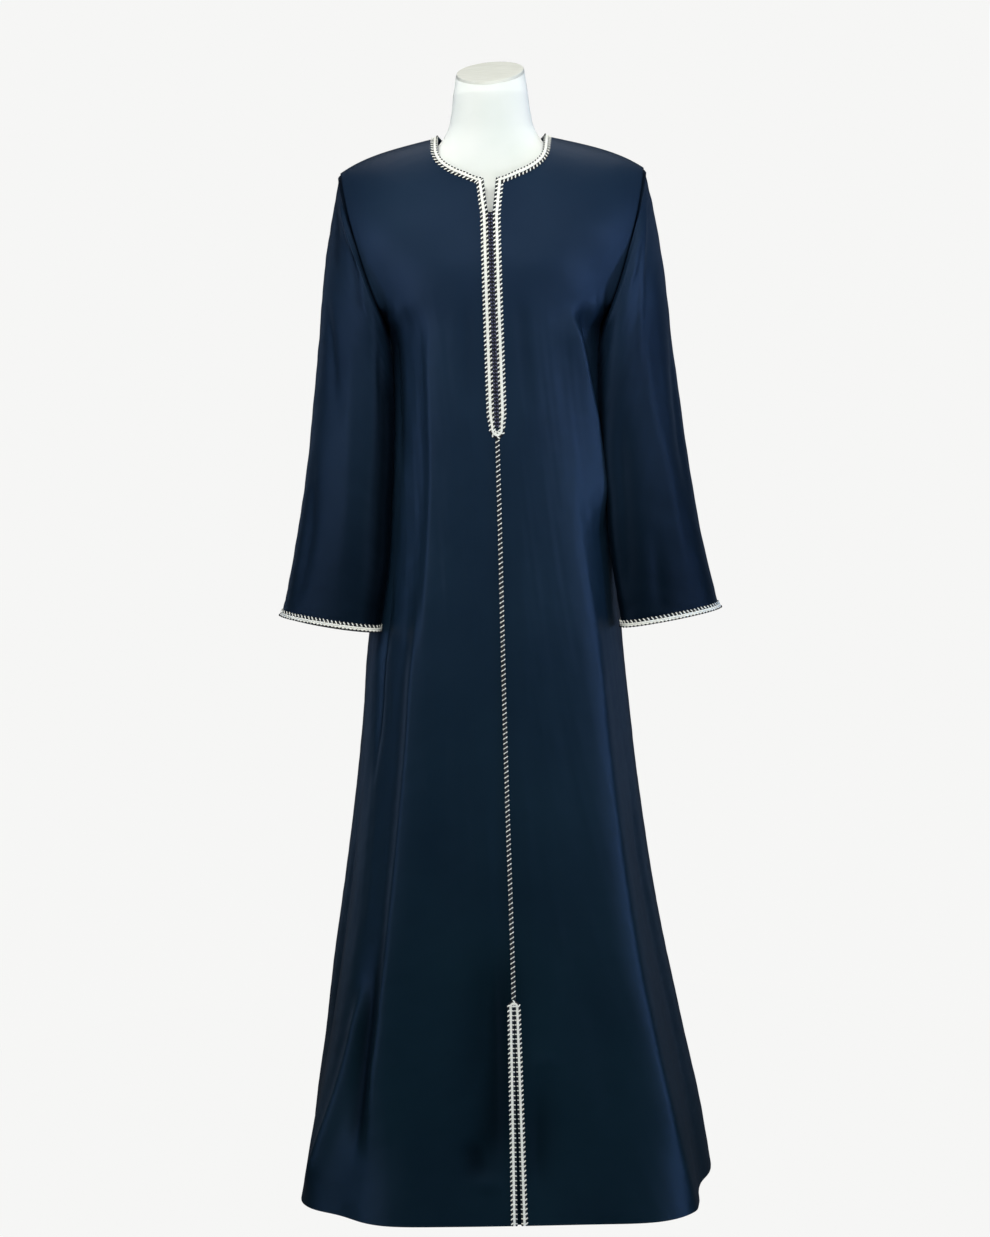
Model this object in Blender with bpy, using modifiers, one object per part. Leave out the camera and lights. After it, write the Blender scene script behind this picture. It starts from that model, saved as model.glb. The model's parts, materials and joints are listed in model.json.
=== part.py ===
"""A long djellaba robe worn by a limbless dress form on a pole stand.

Metres, +Z up. The robe faces -Y, the floor is Z = 0 and the origin is the middle of the stand's foot.
"Right" is the +X half and "left" the -X half. The cloth is a true wall: front halves, back and sleeves
are separate cut pieces with open neck, hem, cuffs and armholes, and the braids lie on them.
"""

import collections
import math

import bpy
import numpy as np

CLOTH = 0.0016  # crepe with its lining
SEAM = 0.0003  # space between neighbouring pieces
BRAID = 0.0016  # thickness of the applied braids
BRAID_WIDE = 0.0095
CORD_WIDE = 0.0062
CORD_HIGH = 0.0040
KNOT_HIGH = 0.0036
KNOT_HALF = 0.0045  # half the width of the closed knot column

ARMPIT = 1.140  # height of the underarm point
ARMPIT_X = 0.140
TIP_X = 0.2018  # top of the armhole
TIP_Z = 1.3505
ARMHOLE_DEEP = 0.055  # front and back reach of the armhole from the shoulder line
SHOULDER_Z = 1.3935  # shoulder line at the side of the neck
SHOULDER_X = 0.0725
SHOULDER_SLOPE = 0.23
SHOULDER_ROUND = 0.0143  # extra drop at the tip
RIDGE_RISE = 0.020  # how much the shoulder line would climb on to the middle of the neck

NECK_HALF = 0.0700  # half the width of the neckline's edge
# Degrees up the chest and up the back at which the neck's edge lies, at degrees of turn from the
# centre to the side.
NECK_COLUMNS = ("turn", "climb")
NECK_FRONT = (
    (0.0, 42.5),
    (9.5, 44.2),
    (28.7, 50.0),
    (41.6, 53.6),
    (58.1, 58.5),
    (70.6, 63.0),
    (82.0, 71.0),
    (90.0, 90.0),
)
NECK_BACK = ((0.0, 62.0), (30.0, 65.0), (60.0, 74.0), (90.0, 90.0))
NOTCH_HALF = 0.0115  # half the width of the neck slit at its top
SLIT_HALF = 0.0048  # half the width of the neck slit at its foot
SLIT_TOP = 1.339
SLIT_FOOT = 1.2916
SLIT_SEAM = 1.2840  # below this height the front halves meet

HEM = 0.002  # height of the hem's edge over the floor
PLACKET_FOOT = 1.006  # middle of the placket braid's round end
HEM_SLIT = 0.262  # height of the lower slit
HEM_SLIT_HALF = 0.0024  # half its width at the hem
SLIT_ARCH = 0.260  # middle of the round top of the hem slit's braid

SECTION_COLUMNS = ("height", "left", "right", "front", "back", "square")
SECTIONS = (
    (0.00, 0.2750, 0.2740, 0.3040, 0.2620, 3.4),
    (0.08, 0.2680, 0.2620, 0.2790, 0.2480, 3.3),
    (0.19, 0.2500, 0.2390, 0.2520, 0.2260, 3.0),
    (0.30, 0.2350, 0.2170, 0.2250, 0.2030, 2.8),
    (0.42, 0.2160, 0.1970, 0.1990, 0.1800, 2.6),
    (0.53, 0.2000, 0.1830, 0.1790, 0.1620, 2.5),
    (0.64, 0.1875, 0.1725, 0.1630, 0.1460, 2.4),
    (0.70, 0.1825, 0.1670, 0.1560, 0.1380, 2.4),
    (0.77, 0.1730, 0.1620, 0.1490, 0.1300, 2.3),
    (0.85, 0.1600, 0.1560, 0.1420, 0.1210, 2.3),
    (1.00, 0.1480, 0.1480, 0.1330, 0.1080, 2.3),
    (1.07, 0.1425, 0.1425, 0.1310, 0.1040, 2.3),
    (1.14, 0.1400, 0.1400, 0.1300, 0.1030, 2.3),
)
# The centre front line wanders a little from neck to hem.
DRIFT_COLUMNS = ("height", "sideways")
DRIFT = ((0.0, 0.0090), (0.3, 0.0070), (0.6, 0.0030), (1.0, 0.0), (1.2, -0.0030), (1.4, -0.0055))

FOLD_COLUMNS = ("top_angle", "hem_angle", "start", "rise", "spread")
FOLDS = (
    (46.0, 35.0, 1.12, 0.019, 12.0),
    (62.0, 57.0, 0.80, -0.018, 11.0),
    (-42.0, -32.0, 1.12, 0.010, 10.0),
    (-46.0, -43.0, 0.55, -0.008, 7.0),
    (-46.0, -53.0, 0.50, 0.024, 11.0),
    (-56.0, -76.0, 0.95, -0.006, 7.0),
    (112.0, 115.0, 0.90, -0.016, 10.0),
    (135.0, 140.0, 1.05, 0.020, 11.0),
    (158.0, 164.0, 0.95, -0.018, 9.0),
    (182.0, 188.0, 1.08, 0.017, 11.0),
    (206.0, 211.0, 0.85, -0.017, 9.0),
    (228.0, 233.0, 1.02, 0.021, 11.0),
    (250.0, 251.0, 0.75, -0.013, 9.0),
)

SLEEVE_COLUMNS = ("outer_x", "outer_y", "outer_z", "inner_x", "inner_y", "inner_z", "deep")
SLEEVE = (
    (0.2018, 0.000, 1.3505, 0.1400, 0.000, 1.140, 0.0550),
    (0.2090, 0.000, 1.318, 0.1414, -0.014, 1.118, 0.0550),
    (0.2165, -0.001, 1.280, 0.1418, -0.030, 1.096, 0.0545),
    (0.2245, -0.003, 1.232, 0.1426, -0.043, 1.070, 0.0540),
    (0.2310, -0.006, 1.175, 0.1436, -0.052, 1.040, 0.0530),
    (0.2370, -0.009, 1.110, 0.1443, -0.058, 1.000, 0.0515),
    (0.2440, -0.012, 1.045, 0.1456, -0.062, 0.955, 0.0495),
    (0.2520, -0.015, 0.980, 0.1478, -0.066, 0.910, 0.0475),
    (0.2620, -0.019, 0.915, 0.1510, -0.069, 0.865, 0.0455),
    (0.2740, -0.023, 0.850, 0.1553, -0.072, 0.820, 0.0440),
    (0.2860, -0.026, 0.795, 0.1610, -0.075, 0.778, 0.0430),
    (0.2920, -0.028, 0.772, 0.1640, -0.077, 0.7535, 0.0428),
    (0.2945, -0.029, 0.763, 0.1655, -0.078, 0.7440, 0.0427),
)
BACK_CUFF_DROP = 0.007  # the left cuff's back edge hangs lower than its front

SKIRT_LOW_ROWS = (HEM, 0.04, 0.10, 0.18, HEM_SLIT, 0.35, 0.45, 0.55, 0.65, 0.75, 0.85, 0.93)
SKIRT_ROWS = SKIRT_LOW_ROWS + (PLACKET_FOOT, 1.07, ARMPIT)
YOKE_ROWS = (0.075, 0.15, 0.225, 0.30, 0.375, 0.45, 0.525, 0.60, 0.69, 0.73, 0.82, 0.91)
TIP_ROW = 0.60  # share of the yoke's rows that end on the armhole
FRONT_SHARES = (0.09, 0.18, 0.27, 0.35, 0.43, 0.51, 0.59, 0.67, 0.76, 0.85, 0.93, 1.0)
BACK_SHARES = (0.0, 0.09, 0.18, 0.27, 0.36, 0.45, 0.54, 0.63, 0.72, 0.81, 0.91, 1.0)

FORM_COLUMNS = ("height", "half", "front", "back")
FORM = (
    (0.780, 0.118, 0.086, 0.088),
    (0.830, 0.126, 0.092, 0.098),
    (0.890, 0.122, 0.088, 0.094),
    (0.980, 0.103, 0.077, 0.074),
    (1.060, 0.102, 0.083, 0.072),
    (1.140, 0.116, 0.108, 0.082),
    (1.200, 0.128, 0.115, 0.086),
    (1.260, 0.146, 0.100, 0.082),
    (1.300, 0.160, 0.086, 0.070),
    (1.325, 0.162, 0.076, 0.060),
    (1.345, 0.150, 0.069, 0.052),
    (1.358, 0.122, 0.064, 0.048),
    (1.370, 0.088, 0.060, 0.045),
    (1.384, 0.064, 0.056, 0.042),
    (1.400, 0.0560, 0.052, 0.041),
    (1.425, 0.0520, 0.050, 0.041),
    (1.450, 0.0495, 0.048, 0.041),
)
FORM_SIDES = 28
NECK_TOP = 1.476  # middle of the sloping neck cap
NECK_HALF_TOP = 0.0455
NECK_DEEP_TOP = 0.0445
CAP_PITCH = 21.0  # degrees the cap slopes towards the front
CAP_ROLL = 4.0  # degrees it leans to the left
CAP_HIGH = 0.004
FORM_UNDER = 0.768  # the closed underside of the bust
POLE_RADIUS = 0.0125
FOOT_RADIUS = 0.150
FOOT_HIGH = 0.012
FOOT_EDGE = 0.004

Finish = collections.namedtuple("Finish", "kind red green blue rough metal")
NAVY = Finish("navy_crepe", 0.012, 0.022, 0.055, 0.6, 0.0)
CREAM = Finish("cream_braid", 0.72, 0.68, 0.56, 0.7, 0.0)
KNOT = Finish("navy_knot_silk", 0.03, 0.035, 0.09, 0.5, 0.0)
SHELL = Finish("white_shell", 0.80, 0.82, 0.80, 0.35, 0.0)
CAP = Finish("cap_paint", 0.55, 0.54, 0.50, 0.5, 0.0)
STEEL = Finish("brushed_steel", 0.45, 0.45, 0.46, 0.35, 1.0)


def smooth(heights, values, at):
    """A cubic through the given points; each point's slope comes from its neighbours."""
    heights = np.asarray(heights, float)
    values = np.asarray(values, float)
    slopes = np.gradient(values, heights)
    k = np.clip(np.searchsorted(heights, at) - 1, 0, len(heights) - 2)
    step = heights[k + 1] - heights[k]
    t = np.clip((at - heights[k]) / step, 0.0, 1.0)
    start = (2 * t**3 - 3 * t**2 + 1) * values[k] + (t**3 - 2 * t**2 + t) * step * slopes[k]
    end = (3 * t**2 - 2 * t**3) * values[k + 1] + (t**3 - t**2) * step * slopes[k + 1]
    return start + end


def column(table, names, name):
    return [row[names.index(name)] for row in table]


def section(name, z):
    heights = column(SECTIONS, SECTION_COLUMNS, "height")
    return smooth(heights, column(SECTIONS, SECTION_COLUMNS, name), z)


def drift(z):
    heights = column(DRIFT, DRIFT_COLUMNS, "height")
    return smooth(heights, column(DRIFT, DRIFT_COLUMNS, "sideways"), z)


def squared_oval(turn, across, deep, power):
    """Radius of a squared oval at a turn (radians) from the front."""
    sideways = (np.abs(np.sin(turn)) / across) ** power
    forwards = (np.abs(np.cos(turn)) / deep) ** power
    return (sideways + forwards) ** (-1 / power)


def fold_lift(angle, z):
    """How far the folds push the skirt out, or in, at a turn of `angle` radians from the front."""
    lift = np.zeros_like(angle + z)
    for top, hem, start, rise, spread in FOLDS:
        fall = np.clip((start - z) / start, 0.0, 1.0)
        middle = np.radians(top + (hem - top) * fall)
        away = (angle - middle + np.pi) % (2 * np.pi) - np.pi
        lift = lift + rise * fall**1.4 * np.exp(-((away / np.radians(spread)) ** 2))
    return lift


def skirt_point(angle, z):
    """The skirt's outer face at a turn of `angle` radians from the front: a squared oval with folds."""
    angle = np.asarray(angle, float)
    z = np.asarray(z, float)
    across = np.where(np.sin(angle) >= 0, section("right", z), section("left", z))
    deep = np.where(np.cos(angle) >= 0, section("front", z), section("back", z))
    radius = squared_oval(angle, across, deep, section("square", z)) + fold_lift(angle, z)
    x = radius * np.sin(angle) + drift(z) * np.clip(np.cos(angle), 0, 1) ** 2
    return np.stack([x, -radius * np.cos(angle), z + 0 * angle], -1)


def ridge(x):
    """Height of the shoulder line, carried on as a smooth curve to the middle of the neck."""
    out = np.clip(x - SHOULDER_X, 0, None)
    inward = np.clip(1 - x / SHOULDER_X, 0, 1)
    rounding = SHOULDER_ROUND * (out / (TIP_X - SHOULDER_X)) ** 4
    return SHOULDER_Z - SHOULDER_SLOPE * (x - SHOULDER_X) - rounding + RIDGE_RISE * inward**2


def armhole_reach(climb):
    """Depth of the armhole at a share `climb` of its height: round at the top, pointed under the arm."""
    turn = np.arccos(np.clip(2 * climb - 1, -1, 1))
    return ARMHOLE_DEEP * np.abs(np.sin(turn)) ** (1 + np.sin(turn / 2) ** 2)


def yoke_point(share, climb_angle, front):
    """The cloth above the underarm: `share` runs from the centre (0) to the armhole (1, or -1 on the
    left), `climb_angle` (radians) from the underarm level over the chest to the shoulder line."""
    share = np.asarray(share, float)
    out = np.abs(share)
    climb = np.sin(climb_angle)
    wide = ARMPIT_X + (TIP_X - ARMPIT_X) * climb
    z = ARMPIT + (ridge(out * TIP_X) - ARMPIT) * climb
    deep = section("front" if front else "back", ARMPIT)
    oval = deep * np.clip(1 - out**2.3, 0, 1) ** (1 / 2.3)
    reach = armhole_reach(np.clip(climb, 0, 1))
    flat = deep * np.cos(climb_angle) * (1 - out**3) + reach * out**3
    blend = np.clip(climb / 0.45, 0, 1)
    blend = blend**2 * (3 - 2 * blend)
    y = oval * np.cos(climb_angle) * (1 - blend) + flat * blend
    inside = np.clip(1 - out**4, 0, 1)
    if front:
        fall = 0.9 * np.clip(out - 0.45, 0, 1) ** 2
        y = y + 0.007 * np.exp(-(((z - 1.212 + fall) / 0.030) ** 2)) * inside
        x = share * wide + drift(z) * (1 - out**2) * np.cos(climb_angle)
        return np.stack([x, -y, z], -1)
    y = y + 0.006 * np.exp(-(((z - 1.235) / 0.045) ** 2)) * inside
    return np.stack([share * wide, y, z], -1)


def unit(vectors):
    return vectors / np.linalg.norm(vectors, axis=-1, keepdims=True)


def skirt_normal(angle, z):
    step = 1e-4
    around = skirt_point(angle + step, z) - skirt_point(angle - step, z)
    up = skirt_point(angle, z + step) - skirt_point(angle, z - step)
    return unit(np.cross(around, up))


def yoke_normal(share, climb_angle, front):
    step = 1e-4
    low = np.clip(share - step, -1, 1)
    high = np.clip(share + step, -1, 1)
    across = yoke_point(high, climb_angle, front) - yoke_point(low, climb_angle, front)
    below = np.maximum(climb_angle - step, 0)
    up = yoke_point(share, climb_angle + step, front) - yoke_point(share, below, front)
    normal = np.cross(across, up)
    return unit(normal if front else -normal)


def slit_edge(z):
    """Distance of a front half's inner edge from the centre line."""
    seam = SEAM / 2
    low = seam + (HEM_SLIT_HALF - seam) * np.clip(1 - z / HEM_SLIT, 0, 1)
    bottom = np.interp(z, (SLIT_SEAM, SLIT_FOOT, SLIT_TOP), (seam, SLIT_HALF, NOTCH_HALF))
    return np.where(z < 1.0, low, bottom)


def neckline(t, front):
    """(share, climb angle) of the neck's edge at a share t of its length, from the slit's corner or the
    middle of the back to the shoulder line."""
    start = math.asin(NOTCH_HALF / NECK_HALF) if front else 0.0
    turn = np.linspace(start, np.pi / 2, 301)
    table = NECK_FRONT if front else NECK_BACK
    turns = column(table, NECK_COLUMNS, "turn")
    climb = np.radians(smooth(turns, column(table, NECK_COLUMNS, "climb"), np.degrees(turn)))
    share = NECK_HALF * np.sin(turn) / (ARMPIT_X + (TIP_X - ARMPIT_X) * np.sin(climb))
    steps = np.linalg.norm(np.diff(yoke_point(share, climb, front), axis=0), axis=-1)
    length = np.concatenate([[0.0], steps.cumsum()])
    return np.interp(t, length / length[-1], share), np.interp(t, length / length[-1], climb)


def yoke_grid(along, low_share, front):
    """(share, climb angle) of the yoke's rows and columns. Each column runs from the underarm level to
    the neck's edge, and the last one follows the armhole to its tip and then the shoulder line."""
    u = np.asarray(along)[None, :]
    low = np.asarray(low_share)[None, :]
    v = np.linspace(0, 1, 401)[:, None]
    top_share, top_climb = neckline((u - u[:, :1]) / (1 - u[:, :1]), front)
    turn = np.pi * (1 - np.clip(v / TIP_ROW, 0, 1))
    right_climb = np.arcsin(np.clip((1 + np.cos(turn)) / 2, 0, 1))
    right_share = 1 + (top_share[:, -1:] - 1) * np.clip((v - TIP_ROW) / (1 - TIP_ROW), 0, 1)
    left_share = low[:, :1] + (top_share[:, :1] - low[:, :1]) * v
    share = (1 - u) * left_share + u * right_share + (1 - v) * low + v * top_share
    corners = (1 - u) * (1 - v) * low[:, :1] + u * (1 - v) * low[:, -1:]
    share = share - corners - (1 - u) * v * top_share[:, :1] - u * v * top_share[:, -1:]
    climb = (1 - u) * top_climb[:, :1] * v + u * right_climb + v * top_climb
    climb = climb - (1 - u) * v * top_climb[:, :1] - u * v * np.pi / 2
    return v[:, 0], share, climb


def pin_columns(share, climb):
    """Sets the front's first three columns: the slit's edge, then the two edges of the braid beside it."""
    for _ in range(3):
        z = ARMPIT + (ridge(share[:, :3] * TIP_X) - ARMPIT) * np.sin(climb[:, :3])
        wide = ARMPIT_X + (TIP_X - ARMPIT_X) * np.sin(climb[:, 0])
        edge = slit_edge(z[:, 0])
        inner = np.maximum(edge + 0.0005, SLIT_HALF)
        share[:, 0] = edge / wide
        share[:, 1] = inner / wide
        share[:, 2] = (inner + BRAID_WIDE) / wide
    return share


def yoke_rows(along, low_share, front, side):
    """Points and normals of the yoke at its rows; the last row is the neck's edge and the one before it
    lies a braid's width away."""
    v, share, climb = yoke_grid(along, low_share, front)
    if front:
        share = pin_columns(share, climb)
    lengths = np.linalg.norm(np.diff(yoke_point(share, climb, front), axis=0), axis=-1)
    to_neck = lengths[::-1].cumsum(axis=0)[::-1]
    count = len(along)
    rows = np.repeat(np.asarray(YOKE_ROWS)[:, None], count, 1)
    braid_row = [np.interp(-BRAID_WIDE, -to_neck[:, c], v[:-1]) for c in range(count)]
    rows = np.concatenate([rows, [braid_row], np.ones((1, count))])
    share = np.stack([np.interp(rows[:, c], v, share[:, c]) for c in range(count)], -1)
    climb = np.stack([np.interp(rows[:, c], v, climb[:, c]) for c in range(count)], -1)
    points = yoke_point(side * share, climb, front)
    normals = yoke_normal(side * share, climb, front)
    half_gap = SEAM / 2
    if front:
        points[:, -1, 1] = np.minimum(points[:, -1, 1], -half_gap)
    else:
        points[:, -1, 1] = np.maximum(points[:, -1, 1], half_gap)
    return points, normals


def side_seam(side, z):
    """Turn (radians) from the centre at which a panel ends, half a seam's space from the side line."""
    return np.pi / 2 - SEAM / 2 / section("right" if side > 0 else "left", z)


def front_half(side):
    """Rows x columns of points and normals of one front half, from the centre out to the side seam."""
    z = np.asarray(SKIRT_ROWS)
    edge = slit_edge(z)
    inner = np.maximum(edge + 0.0005, SLIT_HALF)
    deep = section("front", z)
    near = [np.arctan2(x, deep) for x in (edge, inner, inner + BRAID_WIDE)]
    end = side_seam(side, z)
    far = [near[2] + (end - near[2]) * f for f in FRONT_SHARES]
    angles = np.stack(near + far, -1)
    heights = np.repeat(z[:, None], angles.shape[1], 1)
    points = skirt_point(side * angles, heights)
    normals = skirt_normal(side * angles, heights)
    low_share = np.abs(points[-1, :, 0] - drift(ARMPIT) * np.cos(angles[-1]) ** 2) / ARMPIT_X
    low_share[-1] = 1.0
    along = angles[-1] / angles[-1, -1]
    top, top_normals = yoke_rows(along, low_share, True, side)
    return np.concatenate([points, top]), np.concatenate([normals, top_normals])


def back_half(side):
    """Rows x columns of points and normals of half the back, from its middle out to the side seam."""
    z = np.asarray(SKIRT_ROWS)
    end = side_seam(side, z)
    angles = side * (np.pi - np.asarray(BACK_SHARES)[None, :] * end[:, None])
    heights = np.repeat(z[:, None], angles.shape[1], 1)
    points = skirt_point(angles, heights)
    normals = skirt_normal(angles, heights)
    low_share = np.abs(points[-1, :, 0]) / ARMPIT_X
    low_share[0] = 0.0
    low_share[-1] = 1.0
    top, top_normals = yoke_rows(np.asarray(BACK_SHARES), low_share, False, side)
    return np.concatenate([points, top]), np.concatenate([normals, top_normals])


def sleeve_rings(side, front_edge, back_edge):
    """Rings of points down one sleeve. The first follows the armhole's edge, the others are ovals between
    the sleeve's outer and inner lines; points start at the underarm and go up the front."""
    tables = {name: column(SLEEVE, SLEEVE_COLUMNS, name) for name in SLEEVE_COLUMNS}
    climb = (front_edge[:, 2] - ARMPIT) / (TIP_Z - ARMPIT)
    turn = np.arccos(np.clip(2 * climb - 1, -1, 1))
    turn = np.concatenate([turn, -turn[-2:0:-1]])
    loop = np.concatenate([front_edge, back_edge[-2:0:-1]])
    rings = []
    for k in range(len(SLEEVE)):
        row = {name: tables[name][k] for name in SLEEVE_COLUMNS}
        outer = np.array([row["outer_x"], row["outer_y"], row["outer_z"]])
        inner = np.array([row["inner_x"], row["inner_y"], row["inner_z"]])
        pointed = max(0.0, 1 - k / 4)
        power = 1 + pointed * np.sin(turn / 2) ** 2
        swell = row["deep"] * np.sign(np.sin(turn)) * np.abs(np.sin(turn)) ** power
        ring = (outer + inner) / 2 + (outer - inner) / 2 * np.cos(turn)[:, None]
        ring[:, 1] -= swell
        if side < 0 and k > 8:
            ring[:, 2] -= BACK_CUFF_DROP * (k - 8) / 4 * np.clip(-np.sin(turn), 0, 1)
        rings.append(ring)
    out = np.array([TIP_Z - ARMPIT, 0, ARMPIT_X - TIP_X])
    rings[0] = loop + out / np.linalg.norm(out) * SEAM * 1.3
    return np.array(rings)


def ring_normals(rings):
    around = np.roll(rings, -1, 1) - np.roll(rings, 1, 1)
    along = np.gradient(rings, axis=0)
    return unit(np.cross(along, around))


def mitre(own, other):
    """Shared lean of two walls at their seam, so that their inner edges don't cross."""
    facing = np.clip((own * other).sum(-1, keepdims=True), 0, 1)
    return unit(own + facing * other)


def wall(name, outer, inner, finish, ring=False, turned=()):
    """A closed body between two grids of points. `ring` joins the last column to the first. The cells
    of the `turned` columns are split along their other diagonal, as on cells counted the other way."""
    rows, cols = outer.shape[:2]
    count = rows * cols
    faces = []
    last_col = cols if ring else cols - 1

    def at(r, c):
        return r * cols + c % cols

    for r in range(rows - 1):
        for c in range(last_col):
            a, b, d, e = at(r, c), at(r, c + 1), at(r + 1, c + 1), at(r + 1, c)
            halves = ((a, b, e), (b, d, e)) if c in turned else ((a, b, d), (a, d, e))
            for i, j, k in halves:
                faces.append((i, j, k))
                faces.append((k + count, j + count, i + count))
    for c in range(last_col):
        a, b = at(0, c), at(0, c + 1)
        faces.append((a, a + count, b + count, b))
        a, b = at(rows - 1, c), at(rows - 1, c + 1)
        faces.append((b, b + count, a + count, a))
    if not ring:
        for r in range(rows - 1):
            a, b = at(r, 0), at(r + 1, 0)
            faces.append((b, b + count, a + count, a))
            a, b = at(r, cols - 1), at(r + 1, cols - 1)
            faces.append((a, a + count, b + count, b))
    points = np.concatenate([outer.reshape(-1, 3), inner.reshape(-1, 3)])
    return body(name, points, faces, finish)


def body(name, points, faces, finish):
    mesh = bpy.data.meshes.new(name)
    mesh.from_pydata(points.tolist(), [], faces)
    mesh.materials.append(material(name, finish))
    mesh.update()
    if signed_volume(points, faces) < 0:
        mesh.flip_normals()
    made = bpy.data.objects.new(name, mesh)
    ROBE.objects.link(made)
    return made


def signed_volume(points, faces):
    total = 0.0
    for face in faces:
        for k in range(1, len(face) - 1):
            total += np.linalg.det(points[[face[0], face[k], face[k + 1]]])
    return total / 6


def material(name, finish):
    """The object's own material, named for the object and its finish."""
    made = bpy.data.materials.new(name + "_" + finish.kind)
    made.use_nodes = True
    shader = made.node_tree.nodes["Principled BSDF"]
    colour = (finish.red, finish.green, finish.blue, 1.0)
    shader.inputs["Base Color"].default_value = colour
    shader.inputs["Roughness"].default_value = finish.rough
    shader.inputs["Metallic"].default_value = finish.metal
    made.diffuse_color = colour
    return made


def strip(name, inner_edge, outer_edge, normals, high, finish, lift=SEAM):
    """A flat braid laid on the cloth between two edges, from rows of points."""
    base = np.stack([inner_edge, outer_edge], 1)
    lean = normals if normals.ndim == 3 else np.stack([normals, normals], 1)
    return wall(name, base + lean * (lift + high), base + lean * lift, finish)


def front_point(x, z):
    """The front's face and its lean at a sideways distance x from the centre line and a height z."""
    x = np.asarray(x, float)
    z = np.asarray(z, float)
    turn = np.arctan2(x, section("front", z))
    share = x / TIP_X
    for _ in range(4):
        climb = np.clip((z - ARMPIT) / (ridge(np.abs(share) * TIP_X) - ARMPIT), 0, 1)
        share = x / (ARMPIT_X + (TIP_X - ARMPIT_X) * climb)
    climb = np.arcsin(climb)
    above = (z > ARMPIT)[..., None]
    point = np.where(above, yoke_point(share, climb, True), skirt_point(turn, z))
    return point, np.where(above, yoke_normal(share, climb, True), skirt_normal(turn, z))


def round_end(centre_z, inner, outer, downward, turns=7):
    """Stations of a braid's half-round end, from the left arm to the right: x and z of both edges."""
    turn = np.linspace(0, np.pi, turns)
    sign = -1 if downward else 1
    edges = []
    for radius in (inner, outer):
        edges.append((-radius * np.cos(turn), centre_z + sign * radius * np.sin(turn)))
    return edges


def placket_braid(fronts):
    """The braid down one side of the neck slit, round its foot and up the other side."""
    first = SKIRT_ROWS.index(PLACKET_FOOT)
    left, left_n = fronts[-1]
    right, right_n = fronts[1]
    (xi, zi), (xo, zo) = round_end(PLACKET_FOOT, SLIT_HALF, SLIT_HALF + BRAID_WIDE, True)
    inner, inner_n = front_point(xi[1:-1], zi[1:-1])
    outer, outer_n = front_point(xo[1:-1], zo[1:-1])
    inner = np.concatenate([left[first:, 1][::-1], inner, right[first:, 1]])
    outer = np.concatenate([left[first:, 2][::-1], outer, right[first:, 2]])
    lean = np.stack(
        [
            np.concatenate([left_n[first:, 1][::-1], inner_n, right_n[first:, 1]]),
            np.concatenate([left_n[first:, 2][::-1], outer_n, right_n[first:, 2]]),
        ],
        1,
    )
    strip("placket_braid", inner, outer, lean, BRAID, CREAM)


def slit_braid():
    """The braid up one side of the hem slit, over its top and down the other side."""
    heights = np.array([HEM, 0.04, 0.10, 0.18, 0.24])
    edge = slit_edge(heights) + SEAM
    top_edge = SEAM * 1.5
    (xi, zi), (xo, zo) = round_end(SLIT_ARCH, top_edge, top_edge + BRAID_WIDE, False)
    inner_x = np.concatenate([-edge, xi, edge[::-1]])
    outer_x = np.concatenate([-edge - BRAID_WIDE, xo, (edge + BRAID_WIDE)[::-1]])
    inner_z = np.concatenate([heights, zi, heights[::-1]])
    outer_z = np.concatenate([heights, zo, heights[::-1]])
    inner, inner_n = front_point(inner_x, inner_z)
    outer, outer_n = front_point(outer_x, outer_z)
    lean = np.stack([inner_n, outer_n], 1)
    lean[0, :, 2] = 0
    lean[-1, :, 2] = 0
    strip("hem_slit_braid", inner, outer, unit(lean), BRAID, CREAM, lift=0.0004)


def centre_cord():
    """The twisted cord over the centre seam, six-sided, from the placket's foot to the hem slit."""
    top = PLACKET_FOOT - SLIT_HALF - BRAID_WIDE - 0.0004
    low = SLIT_ARCH + BRAID_WIDE + 0.0011
    heights = np.array([low] + [z for z in SKIRT_ROWS if low + 0.01 < z < top - 0.01] + [top])
    middle, lean = front_point(np.zeros(len(heights)), heights)
    profile = ((-0.32, 0.0), (0.32, 0.0), (0.5, 0.45), (0.28, 1.0), (-0.28, 1.0), (-0.5, 0.45))
    rings = []
    for across, out in profile:
        ring = middle + lean * (SEAM + 0.0001 + out * CORD_HIGH)
        ring[:, 0] += across * CORD_WIDE
        rings.append(ring)
    loft("centre_cord", np.stack(rings, 1), CREAM)


def knot_column(rows):
    """The closed column of small knots that joins the two sides of the neck slit, bent at `rows`."""
    top = SLIT_FOOT - 0.0012
    low = PLACKET_FOOT + 0.003
    heights = np.array([low] + [z for z in rows if low + 0.008 < z < top - 0.003] + [top])
    left, left_n = front_point(np.full(len(heights), -KNOT_HALF), heights)
    right, right_n = front_point(np.full(len(heights), KNOT_HALF), heights)
    lean = np.stack([left_n, right_n], 1)
    strip("knot_column", left, right, lean, KNOT_HIGH, KNOT, lift=0.0006)


def loft(name, rings, finish):
    """A solid through closed rings of points with a flat cap at each end."""
    rows, cols = rings.shape[:2]
    faces = []
    for r in range(rows - 1):
        for c in range(cols):
            d = (c + 1) % cols
            faces.append((r * cols + c, r * cols + d, (r + 1) * cols + d, (r + 1) * cols + c))
    faces.append(tuple(range(cols - 1, -1, -1)))
    faces.append(tuple(range((rows - 1) * cols, rows * cols)))
    return body(name, rings.reshape(-1, 3), faces, finish)


def oval(half, front, back, z, power=2.2):
    """A level ring of points round the dress form."""
    turn = np.linspace(0, 2 * np.pi, FORM_SIDES, endpoint=False)
    radius = squared_oval(turn, half, np.where(np.cos(turn) >= 0, front, back), power)
    return np.stack([radius * np.sin(turn), -radius * np.cos(turn), np.full(FORM_SIDES, z)], -1)


def sloped(ring):
    """Tilts a ring drawn at height zero onto the neck cap's slope."""
    pitch = math.tan(math.radians(CAP_PITCH))
    roll = math.tan(math.radians(CAP_ROLL))
    made = ring.copy()
    made[:, 2] = NECK_TOP + ring[:, 2] + pitch * ring[:, 1] + roll * ring[:, 0]
    return made


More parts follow.
